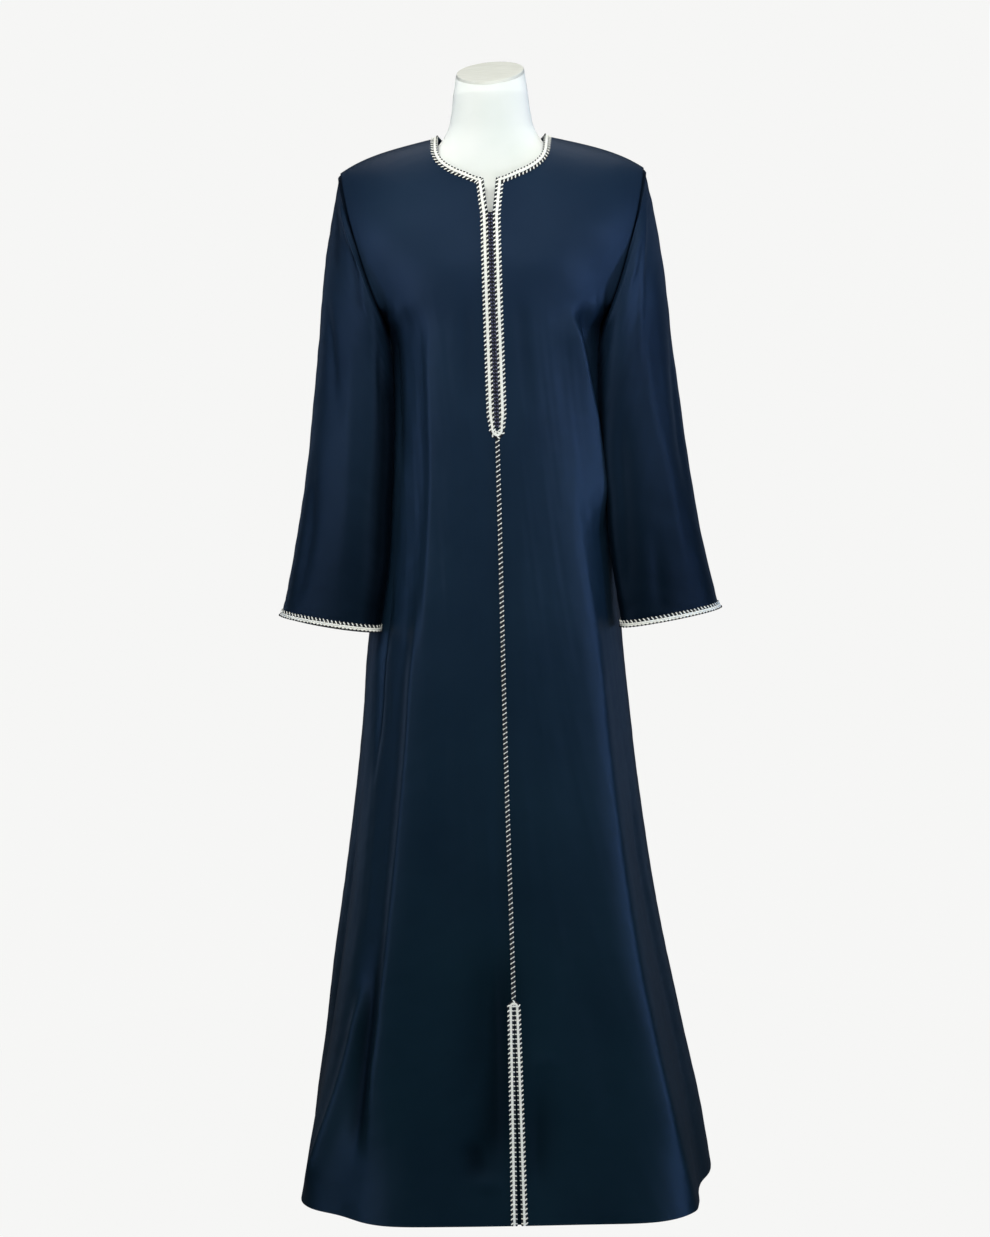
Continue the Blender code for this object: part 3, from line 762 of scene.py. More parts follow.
@dataclass(frozen=True)
class BrushedSteel:
    """Stainless steel brushed along its length: fine scratches that spread the shine."""

    name: str = "brushed_stand_steel"
    colour: str = "#b9bbbd"
    roughness: float = 0.34
    scratch: Row = (900.0, 900.0, 12.0)
    scratch_deep: float = 0.0001

    def make(self) -> bpy.types.Material:
        """Builds the material: scratches from noise stretched along Z.

        Returns:
            The material.
        """
        made, tree, shader = new_material(self.name)
        spot = add_node(tree, "TexCoord", {}, {}).outputs["Object"]
        stretch = add_node(tree, "Mapping", {}, {"Vector": spot, "Scale": self.scratch})
        scratch = add_node(
            tree, "TexNoise", {}, {"Vector": stretch.outputs["Vector"], "Scale": 1.0}
        ).outputs["Fac"]
        bump = add_node(
            tree, "Bump", {}, {"Height": scratch, "Strength": 0.25, "Distance": self.scratch_deep}
        )
        fill_inputs(tree, shader, {
            "Normal": bump.outputs["Normal"],
            "Base Color": linear(self.colour),
            "Metallic": 1.0,
            "Roughness": self.roughness,
        })
        return made


# ---------------------------------------------------------------------------------------------
# The robe's form


@dataclass
class PanelGrid:
    """A cut panel as a grid of points on the robe's outer face.

    Attributes:
        points: Rows x columns x 3, from the hem up.
        turn: Degrees round the robe that each point's column stands for, 0 at the front.
        level: Height of each row, carried on above the underarm as a length up the yoke.
        armpit: Number of the row at the underarm.
        tip: Number of the row whose last point is the top of the armhole.
    """

    points: Array
    turn: Array
    level: Array
    armpit: int
    tip: int


@dataclass(frozen=True)
class RobeShape:
    """Sizes and surfaces of the worn robe, in metres and degrees."""

    # The underarm and the armhole's tip, its depth behind and how far it bows out.
    armpit: float = 1.140
    armpit_x: float = 0.140
    tip_x: float = 0.2018
    tip_z: float = 1.3505
    armhole_deep: float = 0.055
    armhole_bow: float = 0.45
    # Degrees from the armhole's tip round its front edge, and how far that edge stands forward.
    armhole_front: tuple[Row, ...] = (
        (0.0, 0.0), (25.0, 0.0235), (45.0, 0.04), (70.0, 0.058), (90.0, 0.068), (107.0, 0.072),
        (127.0, 0.072), (143.0, 0.064), (158.0, 0.04), (180.0, 0.0),
    )
    # The chest's crest: its height, its rise, and its reach above and below.
    chest_z: float = 1.222
    chest_rise: float = 0.0036
    chest_over: float = 0.030
    chest_under: float = 0.085
    # The shoulder line: where it meets the neck, its fall, its drop at the tip, and how far it
    # would climb on over the neck.
    shoulder_z: float = 1.3935
    shoulder_x: float = 0.0725
    shoulder_slope: float = 0.23
    shoulder_round: float = 0.0143
    ridge_rise: float = 0.020
    # The neck and its slit: half widths, and heights at which the slit narrows and closes.
    neck_half: float = 0.0700
    notch_half: float = 0.0083
    slit_half: float = 0.0031
    slit_top: float = 1.339
    slit_foot: float = 1.2916
    slit_seam: float = 1.2840
    # Heights of the hem, the placket's foot and the hem slit, and the braids' width.
    hem: float = 0.002
    placket_foot: float = 1.0115
    hem_slit: float = 0.272
    hem_slit_half: float = 0.0024
    slit_arch: float = 0.270
    braid_wide: float = 0.0095
    # Share of the yoke's rows below the armhole's tip, the yoke's length, and the skirt's radius.
    tip_row: float = 0.60
    yoke_length: float = 0.30
    mean_radius: float = 0.21
    # Degrees round the neck from its middle, and degrees of climb there.
    front_neck: tuple[Row, ...] = (
        (0.0, 42.5), (9.5, 44.2), (28.7, 50.0), (41.6, 53.6), (58.1, 58.5), (70.6, 63.0),
        (82.0, 71.0), (90.0, 90.0),
    )
    back_neck: tuple[Row, ...] = (
        (0.0, 56.2), (5.0, 57.6), (10.0, 59.0), (20.0, 62.0), (30.0, 65.0), (60.0, 74.0),
        (90.0, 90.0),
    )
    # Level sections of the skirt: reach to each side, and how square the oval is.
    section_names: tuple[str, ...] = ("height", "left", "right", "front", "back", "square")
    sections: tuple[Row, ...] = (
        (0.0, 0.275, 0.274, 0.304, 0.262, 3.4), (0.08, 0.268, 0.262, 0.279, 0.248, 3.3),
        (0.19, 0.25, 0.239, 0.252, 0.226, 3.0), (0.3, 0.235, 0.217, 0.225, 0.203, 2.8),
        (0.42, 0.216, 0.197, 0.199, 0.18, 2.6), (0.53, 0.2, 0.183, 0.179, 0.162, 2.5),
        (0.64, 0.1875, 0.1725, 0.163, 0.146, 2.4), (0.7, 0.1825, 0.167, 0.156, 0.138, 2.4),
        (0.77, 0.173, 0.162, 0.149, 0.13, 2.3), (0.85, 0.16, 0.156, 0.142, 0.121, 2.3),
        (1.0, 0.148, 0.148, 0.133, 0.108, 2.3), (1.07, 0.1425, 0.1425, 0.131, 0.104, 2.3),
        (1.14, 0.14, 0.14, 0.13, 0.103, 2.3),
    )
    # Heights, and how far the centre line lies to the side there.
    drifts: tuple[Row, ...] = (
        (0.0, 0.009), (0.3, 0.007), (0.6, 0.003), (1.0, 0.0), (1.2, -0.003), (1.4, -0.0055),
    )
    # Turn at the top, turn at the hem, height where it starts, rise at the hem, spread.
    folds: tuple[Row, ...] = (
        (46.0, 35.0, 1.12, 0.019, 12.0), (62.0, 57.0, 0.8, -0.018, 11.0),
        (-42.0, -32.0, 1.12, 0.01, 10.0), (-46.0, -43.0, 0.55, -0.008, 7.0),
        (-46.0, -53.0, 0.5, 0.024, 11.0), (-56.0, -76.0, 0.95, -0.006, 7.0),
        (112.0, 115.0, 0.9, -0.016, 10.0), (135.0, 140.0, 1.05, 0.02, 11.0),
        (158.0, 164.0, 0.95, -0.018, 9.0), (182.0, 188.0, 1.08, 0.017, 11.0),
        (206.0, 211.0, 0.85, -0.017, 9.0), (228.0, 233.0, 1.02, 0.021, 11.0),
        (250.0, 251.0, 0.75, -0.013, 9.0),
    )
    # Outer line x, y, z, inner line x, y, z, and half the depth, from the armhole to the cuff.
    sleeve_lines: tuple[Row, ...] = (
        (0.2018, 0.0, 1.3505, 0.14, 0.0, 1.14, 0.055),
        (0.209, 0.0, 1.318, 0.1378, -0.034, 1.116, 0.055),
        (0.2165, -0.001, 1.28, 0.1362, -0.047, 1.094, 0.0545),
        (0.2245, -0.003, 1.232, 0.1356, -0.054, 1.069, 0.054),
        (0.231, -0.009, 1.175, 0.136, -0.059, 1.04, 0.053),
        (0.237, -0.015, 1.11, 0.137, -0.063, 1.0, 0.0515),
        (0.244, -0.021, 1.045, 0.139, -0.065, 0.955, 0.0495),
        (0.252, -0.026, 0.98, 0.142, -0.066, 0.91, 0.0475),
        (0.262, -0.03, 0.915, 0.1446, -0.069, 0.865, 0.0455),
        (0.274, -0.034, 0.85, 0.1492, -0.072, 0.82, 0.044),
        (0.286, -0.037, 0.795, 0.1562, -0.075, 0.778, 0.043),
        (0.292, -0.038, 0.772, 0.159, -0.077, 0.7535, 0.0428),
        (0.2945, -0.039, 0.763, 0.1606, -0.078, 0.744, 0.0427),
    )
    # How far the back of the left cuff hangs below its front.
    back_cuff_drop: float = 0.012

    @property
    def armhole_out(self) -> Array:
        """The way out of the armhole, square to the line from the underarm to its tip."""
        return unit(np.array([self.tip_z - self.armpit, 0, self.armpit_x - self.tip_x]))

    def section(self, name: str, z: float | Array) -> Array:
        """One size of the skirt's level section at a height."""
        heights = column(self.sections, self.section_names, "height")
        return smooth(heights, column(self.sections, self.section_names, name), z)

    def drift(self, z: float | Array) -> Array:
        """How far the centre line wanders sideways at a height."""
        return smooth([row[0] for row in self.drifts], [row[1] for row in self.drifts], z)

    def fold_lift(self, turn: Array, z: Array) -> Array:
        """How far the folds push the skirt out or in: bells in the turn that grow as they fall.

        Args:
            turn: Radians from the front.
            z: Heights.

        Returns:
            The lift at each place.
        """
        lift = np.zeros(np.broadcast(turn, z).shape)
        for top, hem, start, rise, spread in self.folds:
            fall = np.clip((start - z) / start, 0.0, 1.0)
            middle = np.radians(top + (hem - top) * fall)
            away = (turn - middle + np.pi) % (2 * np.pi) - np.pi
            lift += rise * fall**1.4 * bell(away, 0.0, math.radians(spread))
        return lift

    def skirt(self, turn: Array, z: Array) -> Array:
        """The skirt's outer face: a squared oval at every height, its radius with the folds added.

        The radius is (|sin/across|^n + |cos/deep|^n)^(-1/n).

        Args:
            turn: Radians from the front.
            z: Heights.

        Returns:
            The points.
        """
        turn, z = np.broadcast_arrays(np.asarray(turn, float), np.asarray(z, float))
        across = np.where(np.sin(turn) >= 0, self.section("right", z), self.section("left", z))
        deep = np.where(np.cos(turn) >= 0, self.section("front", z), self.section("back", z))
        power = self.section("square", z)
        oval = (np.abs(np.sin(turn)) / across) ** power + (np.abs(np.cos(turn)) / deep) ** power
        radius = oval ** (-1 / power) + self.fold_lift(turn, z)
        x = radius * np.sin(turn) + self.drift(z) * np.clip(np.cos(turn), 0, 1) ** 2
        y = -radius * np.cos(turn)
        return np.stack([x, y - self.chest(np.abs(np.sin(turn)), z) * (np.cos(turn) > 0), z], -1)

    def chest(self, out: Array, z: Array) -> Array:
        """How far the chest pushes the front out: a low roll, short above its crest and long below.

        Args:
            out: Share of the way from the centre to the side.
            z: Heights.

        Returns:
            The push, which sinks to nothing at the side.
        """
        past = z + 0.30 * np.clip(out - 0.40, 0, 1) ** 2 - self.chest_z
        roll = bell(past, 0.0, np.where(past > 0, self.chest_over, self.chest_under))
        return self.chest_rise * roll * np.clip(1 - out**4, 0, 1)

    def ridge(self, x: Array) -> Array:
        """Height of the shoulder line at a distance x, carried on over the neck to the middle.

        Args:
            x: Distances from the middle.

        Returns:
            The heights.
        """
        out = np.clip(x - self.shoulder_x, 0, None)
        inward = np.clip(1 - x / self.shoulder_x, 0, 1)
        rounding = self.shoulder_round * (out / (self.tip_x - self.shoulder_x)) ** 4
        slope = self.shoulder_z - self.shoulder_slope * (x - self.shoulder_x)
        return slope - rounding + self.ridge_rise * inward**2

    def width(self, climb: Array) -> Array:
        """Half the yoke's width where the sine of its climb is `climb`; the armhole bows out."""
        bowed = climb + self.armhole_bow * climb * (1 - climb)
        return self.armpit_x + (self.tip_x - self.armpit_x) * bowed

    def armhole_reach(self, climb: Array, front: bool) -> Array:
        """Depth of the armhole's edge at a share of its height.

        The back edge is round at the top and pointed under the arm. The front edge follows its
        table, and stands furthest forward low down, where the chest draws it.

        Args:
            climb: Share of the armhole's height.
            front: The front edge or the back one.

        Returns:
            The depth of each place, in metres.
        """
        turn = np.arccos(np.clip(2 * climb - 1, -1, 1))
        if front:
            table = np.array(self.armhole_front)
            return smooth(table[:, 0], table[:, 1], np.degrees(turn))
        return self.armhole_deep * np.abs(np.sin(turn)) ** (1 + np.sin(turn / 2) ** 2)

    def yoke(self, share: Array, climb: Array, front: bool) -> Array:
        """The cloth above the underarm.

        Its depth goes over from the skirt's oval to a flat sheet that runs out to the armhole's
        reach, and a soft fold crosses it under the chest.

        Args:
            share: 0 at the centre and 1 at the right armhole, -1 at the left one.
            climb: Radians from the underarm level over the chest to the shoulder line.
            front: The front or the back.

        Returns:
            The points.
        """
        share, climb = np.broadcast_arrays(np.asarray(share, float), np.asarray(climb, float))
        out = np.abs(share)
        up = np.sin(climb)
        z = self.armpit + (self.ridge(out * self.tip_x) - self.armpit) * up
        deep = self.section("front" if front else "back", self.armpit)
        oval = deep * np.clip(1 - out**2.3, 0, 1) ** (1 / 2.3)
        reach = self.armhole_reach(np.clip(up, 0, 1), front)
        late = out ** (3 + 1.6 * ease(up, 0.2, 0.7) if front else 3)
        flat = deep * np.cos(climb) * (1 - late) + reach * late
        sooner = ease(up / (0.15 if front else 0.45))
        later = ease((up - 0.10) / 0.50)
        blend = later + (sooner - later) * out**4
        y = oval * np.cos(climb) * (1 - blend) + flat * blend
        inside = np.clip(1 - out**4, 0, 1)
        x = share * self.width(up)
        if front:
            y = y + self.chest(out, z)
            x = x + self.drift(z) * (1 - out**2) * np.cos(climb)
            return np.stack([x, -y, z], -1)
        y = y + 0.006 * bell(z, 1.235, 0.045) * inside
        return np.stack([x, y, z], -1)

    def skirt_lean(self, turn: Array, z: Array) -> Array:
        """Outward normals of the skirt, from small steps on it.

        Args:
            turn: Radians from the front.
            z: Heights.

        Returns:
            The normals.
        """
        step = 1e-4
        around = self.skirt(turn + step, z) - self.skirt(turn - step, z)
        return unit(np.cross(around, self.skirt(turn, z + step) - self.skirt(turn, z - step)))

    def yoke_lean(self, share: Array, climb: Array, front: bool) -> Array:
        """Outward normals of the yoke, from small steps on it.

        Args:
            share: As `yoke`'s.
            climb: As `yoke`'s.
            front: The front or the back.

        Returns:
            The normals.
        """
        step = 1e-4
        around = self.yoke(share + step, climb, front) - self.yoke(share - step, climb, front)
        below = np.maximum(climb - step, 0)
        up = self.yoke(share, climb + step, front) - self.yoke(share, below, front)
        return unit(np.cross(around, up)) * (1 if front else -1)

    def slit_edge(self, z: Array) -> Array:
        """Distance of a front half's inner edge from the centre line.

        Args:
            z: Heights.

        Returns:
            The distances.
        """
        seam = SEAM / 2
        low = seam + (self.hem_slit_half - seam) * np.clip(1 - z / self.hem_slit, 0, 1)
        places = (self.slit_seam, self.slit_foot, self.slit_top)
        high = np.interp(z, places, (seam, self.slit_half, self.notch_half))
        return np.where(np.asarray(z) < 1.0, low, high)

    def front_at(self, x: Array, z: Array) -> tuple[Array, Array]:
        """The front's outer face near its centre line.

        Args:
            x: Distances from the centre line.
            z: Heights.

        Returns:
            The points and the outward normals there.
        """
        x, z = np.broadcast_arrays(np.asarray(x, float), np.asarray(z, float))
        turn = np.arctan2(x, self.section("front", z))
        share = x / self.tip_x
        up = np.zeros(z.shape)
        for _ in range(4):
            rise = self.ridge(np.abs(share) * self.tip_x) - self.armpit
            up = np.clip((z - self.armpit) / rise, 0, 1)
            share = x / self.width(up)
        climb = np.arcsin(up)
        above = (z > self.armpit)[..., None]
        point = np.where(above, self.yoke(share, climb, True), self.skirt(turn, z))
        return point, np.where(above, self.yoke_lean(share, climb, True), self.skirt_lean(turn, z))

    def neckline(self, t: Array, front: bool) -> tuple[Array, Array]:
        """The neck's edge, from the slit's corner or the middle of the back to the shoulder line.

        Args:
            t: Share of the edge's length.
            front: The front's edge or the back's.

        Returns:
            Share and climb, as `yoke` takes them.
        """
        start = math.asin(self.notch_half / self.neck_half) if front else 0.0
        turn = np.linspace(start, np.pi / 2, 401)
        table = self.front_neck if front else self.back_neck
        degrees = smooth([row[0] for row in table], [row[1] for row in table], np.degrees(turn))
        climb = np.radians(degrees)
        share = self.neck_half * np.sin(turn) / self.width(np.sin(climb))
        steps = np.linalg.norm(np.diff(self.yoke(share, climb, front), axis=0), axis=-1)
        length = np.concatenate([[0.0], steps.cumsum()])
        return np.interp(t, length / length[-1], share), np.interp(t, length / length[-1], climb)

    def yoke_net(self, u: Array, low: Array, v: Array, front: bool) -> tuple[Array, Array]:
        """Rows and columns of the yoke between its four edges.

        A Coons patch: the sum of what two pairs of opposite edges give, less what their corners
        give.
        The last column follows the armhole to its tip and then the shoulder line.

        Args:
            u: Share of each column from the centre to the side.
            low: Where each column starts at the underarm level, as `yoke`'s share.
            v: Share of each row from the underarm level to the neck's edge.
            front: The front or the back.

        Returns:
            Share and climb, each rows x columns.
        """
        u, low, v = u[None, :], low[None, :], v[:, None]
        top, top_climb = self.neckline(u, front)
        turn = np.pi * (1 - np.clip(v / self.tip_row, 0, 1))
        side_climb = np.arcsin(np.clip((1 + np.cos(turn)) / 2, 0, 1))
        side = 1 + (top[:, -1:] - 1) * np.clip((v - self.tip_row) / (1 - self.tip_row), 0, 1)
        centre_climb = top_climb[:, :1] * v
        centre = low[:, :1] + (top[:, :1] - low[:, :1]) * v
        if front:
            up = np.sin(centre_climb)
            height = self.armpit + (self.ridge(centre * self.tip_x) - self.armpit) * up
            centre = self.slit_edge(height) / self.width(up)
        share = (1 - u) * centre + u * side + (1 - v) * low + v * top
        share = share - (1 - u) * ((1 - v) * centre[:1] + v * centre[-1:])
        share = share - u * ((1 - v) + v * top[:, -1:])
        climb = (1 - u) * centre_climb + u * side_climb + v * top_climb
        climb = climb - (1 - u) * v * top_climb[:, :1] - u * v * np.pi / 2
        return share, climb

    def half_panel(
        self, front: bool, side: Side, cols: int, skirt_rows: int, yoke_rows: int
    ) -> PanelGrid:
        """Half the front or half the back, from its centre line out to the side seam.

        Args:
            front: The front or the back.
            side: Which half.
            cols: Number of columns.
            skirt_rows: Rows from the hem to the underarm.
            yoke_rows: Rows from there to the neck.

        Returns:
            The grid.
        """
        sign = side.value
        u = np.linspace(0, 1, cols)
        z = np.linspace(self.hem, self.armpit, skirt_rows)[:, None]
        half = self.section("right" if sign > 0 else "left", z)
        end = np.pi / 2 - SEAM / 2 / half
        if front:
            start = np.arctan2(self.slit_edge(z), self.section("front", z))
            turn = start + (end - start) * u
        else:
            turn = np.pi - end * u
        skirt = self.skirt(sign * turn, z)
        low = np.abs(skirt[-1, :, 0])
        if front:
            low = np.abs(skirt[-1, :, 0] - self.drift(self.armpit) * np.cos(turn[-1]) ** 2)
        low = low / self.armpit_x
        low[-1] = 1.0
        if not front:
            low[0] = 0.0
        below = max(2, round(yoke_rows * self.tip_row))
        v = np.concatenate([
            np.linspace(0, self.tip_row, below + 1)[1:],
            np.linspace(self.tip_row, 1, yoke_rows - below + 1)[1:],
        ])
        share, climb = self.yoke_net(u, low, v, front)
        yoke = self.yoke(sign * share, climb, front)
        gap = SEAM / 2
        last = yoke[:, -1, 1]
        yoke[:, -1, 1] = np.minimum(last, -gap) if front else np.maximum(last, gap)
        points = np.concatenate([skirt, yoke])
        level = np.concatenate([z[:, 0], self.armpit + v * self.yoke_length])
        turns = np.degrees(turn[-1])
        grid = np.broadcast_to(sign * turns[None, :], points.shape[:2])
        levels = np.broadcast_to(level[:, None], points.shape[:2])
        return PanelGrid(points, grid, levels, skirt_rows - 1, skirt_rows - 1 + below)

    def softened(self, grid: PanelGrid) -> PanelGrid:
        """Rounds the bend at the underarm level, most at the sides and not at all near any edge.

        Each column is averaged with a bell over its neighbours, and the average is mixed in near
        the level of the underarm.

        Args:
            grid: The panel half.

        Returns:
            The same grid, rounded.
        """
        reach = np.arange(-14, 15)
        weight = np.exp(-((reach / 6.0) ** 2))
        weight = weight / weight.sum()
        padded = np.pad(grid.points, ((14, 14), (0, 0), (0, 0)), mode="edge")
        mean = sum(w * padded[k : k + len(grid.points)] for k, w in enumerate(weight))
        away = np.linalg.norm(grid.points - grid.points[:, -1:], axis=-1)
        inner = np.linalg.norm(grid.points - grid.points[:, :1], axis=-1)
        mix = bell(grid.level, self.armpit, 0.045) * ease(away, 0.006, 0.035)
        mix = mix * ease(inner, 0.02, 0.06)
        points = grid.points + mix[..., None] * (mean - grid.points)
        return PanelGrid(points, grid.turn, grid.level, grid.armpit, grid.tip)

    def sleeve_ring(self, step: Array, turn: Array, side: Side) -> Array:
        """Rings of a right sleeve: ovals between its outer and its inner line.

        A point is the middle of the two lines plus half their difference times cos, and it stands
        out by the depth times sin, which is pointed under the arm near the armhole.

        Args:
            step: Rows of the table of lines, from 0 at the armhole to 12 at the cuff.
            turn: Radians from the outer line, positive to the front.
            side: Whose sleeve: the left cuff hangs lower at the back.

        Returns:
            Rings x points x 3, on the right.
        """
        table = smooth(np.arange(len(self.sleeve_lines)), np.array(self.sleeve_lines), step)
        outer, inner, deep = table[:, None, 0:3], table[:, None, 3:6], table[:, 6:7]
        power = 1 + np.clip(1 - step[:, None] / 4, 0, 1) * np.sin(turn / 2) ** 2
        power = power - 0.22 * ease(step[:, None], 1, 5) * (np.sin(turn) > 0)
        fuller = 1 + 0.22 * (1 - ease(step[:, None], 0, 4)) * (np.sin(turn) > 0)
        swell = deep * fuller * np.sign(np.sin(turn)) * np.abs(np.sin(turn)) ** power
        rings = (outer + inner) / 2 + (outer - inner) / 2 * np.cos(turn)[None, :, None]
        rings[..., 1] -= swell
        if side is Side.LEFT:
            drop = self.back_cuff_drop * np.clip((step[:, None] - 8) / 4, 0, 1)
            rings[..., 2] -= drop * np.clip(-np.sin(turn), 0, 1)
        return rings

    def armpit_shares(self, front: bool, side: Side, u: Array) -> Array:
        """Where the yoke's columns start at the underarm level, as `yoke`'s share.

        Args:
            front: The front or the back.
            side: Which half.
            u: Share of each column from the centre to the side seam.

        Returns:
            The share of each column.
        """
        half = self.section("right" if side is Side.RIGHT else "left", self.armpit)
        end = np.pi / 2 - SEAM / 2 / half
        if front:
            start = np.arctan2(self.slit_edge(self.armpit), self.section("front", self.armpit))
            turn = start + (end - start) * u
            point = self.skirt(side.value * turn, self.armpit)
            x = np.abs(point[:, 0] - self.drift(self.armpit) * np.cos(turn) ** 2)
        else:
            point = self.skirt(side.value * (np.pi - end * u), self.armpit)
            x = np.abs(point[:, 0])
        return np.minimum(x / self.armpit_x, 1.0)

    def neck_band(self, front: bool, side: Side, t: Array) -> tuple[Array, Array, Array]:
        """The band along the neck's edge, a braid's width deep.

        Each station follows its own column of the yoke down from the edge.

        Args:
            front: The front or the back.
            side: Which half.
            t: Shares of the edge's length.

        Returns:
            Points on the edge, points on the band's other side, and the outward normals between.
        """
        v = np.linspace(0.86, 1.0, 57)
        share, climb = self.yoke_net(t, self.armpit_shares(front, side, t), v, front)
        points = self.yoke(side.value * share, climb, front)
        down = lengths_on(points)
        at = [np.interp(-self.braid_wide, -down[:, c], v) for c in range(len(t))]
        low_share = np.array([np.interp(at[c], v, share[:, c]) for c in range(len(t))])
        low_climb = np.array([np.interp(at[c], v, climb[:, c]) for c in range(len(t))])
        low = self.yoke(side.value * low_share, low_climb, front)
        middle = (low_share + share[-1]) / 2, (low_climb + climb[-1]) / 2
        return points[-1], low, self.yoke_lean(side.value * middle[0], middle[1], front)


@dataclass(frozen=True)
class Crease:
    """A soft ridge, or a trough where `rise` is negative, along a path over the cloth.

    Attributes:
        path: Places as (turn in degrees, level in metres).
        rise: Height of its middle, in metres.
        wide: Distance at which it has sunk to a third, in metres.
        crisp: 0 for a round back and 1 for a sharp one.
        fade: Share of its length over which each end rises.
        lee: The distance on the side of the greater turn of a path that falls, where it differs.
        shade: Painted shade in its middle, from 0 to 1.
    """

    path: tuple[tuple[float, float], ...]
    rise: float
    wide: float
    crisp: float = 0.0
    fade: float = 0.3
    lee: float = 0.0
    shade: float = 0.0

    def profile(self, turn: Array, level: Array, scale: tuple[Array, Array]) -> Array:
        """Height of the crease at each point of a grid as a share of its rise.

        Args:
            turn: Degrees of each point.
            level: Level of each point.
            scale: Metres for a degree of turn and for a metre of level, at each point.

        Returns:
            The share, from the distance to the path.
        """
        knots = np.linspace(0, 1, len(self.path))
        line = smooth(knots, np.array(self.path), np.linspace(0, 1, 6 * len(self.path)))
        first = (line[0, 0] - turn + 180) % 360 - 180
        best = np.full(turn.shape, 9.0)
        share = np.zeros(turn.shape)
        beyond = np.zeros(turn.shape, bool)
        last = len(line) - 1
        for k in range(last):
            x = (first + line[k, 0] - line[0, 0]) * scale[0]
            y = (line[k, 1] - level) * scale[1]
            dx = (line[k + 1, 0] - line[k, 0]) * scale[0]
            dy = (line[k + 1, 1] - line[k, 1]) * scale[1]
            t = np.clip(-(x * dx + y * dy) / np.maximum(dx * dx + dy * dy, 1e-12), 0, 1)
            away = np.hypot(x + t * dx, y + t * dy)
            nearer = away < best
            best = np.where(nearer, away, best)
            share = np.where(nearer, (k + t) / last, share)
            beyond = np.where(nearer, dy * x - dx * y > 0, beyond)
        wide = np.where(beyond, self.lee or self.wide, self.wide)
        round_back = bell(best, 0.0, wide)
        edge = 0.12 * min(self.wide, self.lee or self.wide)
        sharp_back = np.exp(-1.2 * (np.sqrt(best**2 + edge**2) - edge) / wide)
        back = round_back + self.crisp * (sharp_back - round_back)
        return back * ease(share, 0, self.fade) * ease(1 - share, 0, self.fade)


def grid_scale(grid: PanelGrid) -> tuple[Array, Array]:
    """Metres of cloth for a degree of turn and for a metre of level, at each point of a grid.

    Args:
        grid: The grid.

    Returns:
        The two scales.
    """
    across = np.linalg.norm(np.gradient(grid.points, axis=1), axis=-1)
    along = np.linalg.norm(np.gradient(grid.points, axis=0), axis=-1)
    degrees = np.abs(np.gradient(grid.turn, axis=1))
    metres = np.abs(np.gradient(grid.level, axis=0))
    return across / np.maximum(degrees, 1e-6), along / np.maximum(metres, 1e-6)


# ---------------------------------------------------------------------------------------------
# Trims


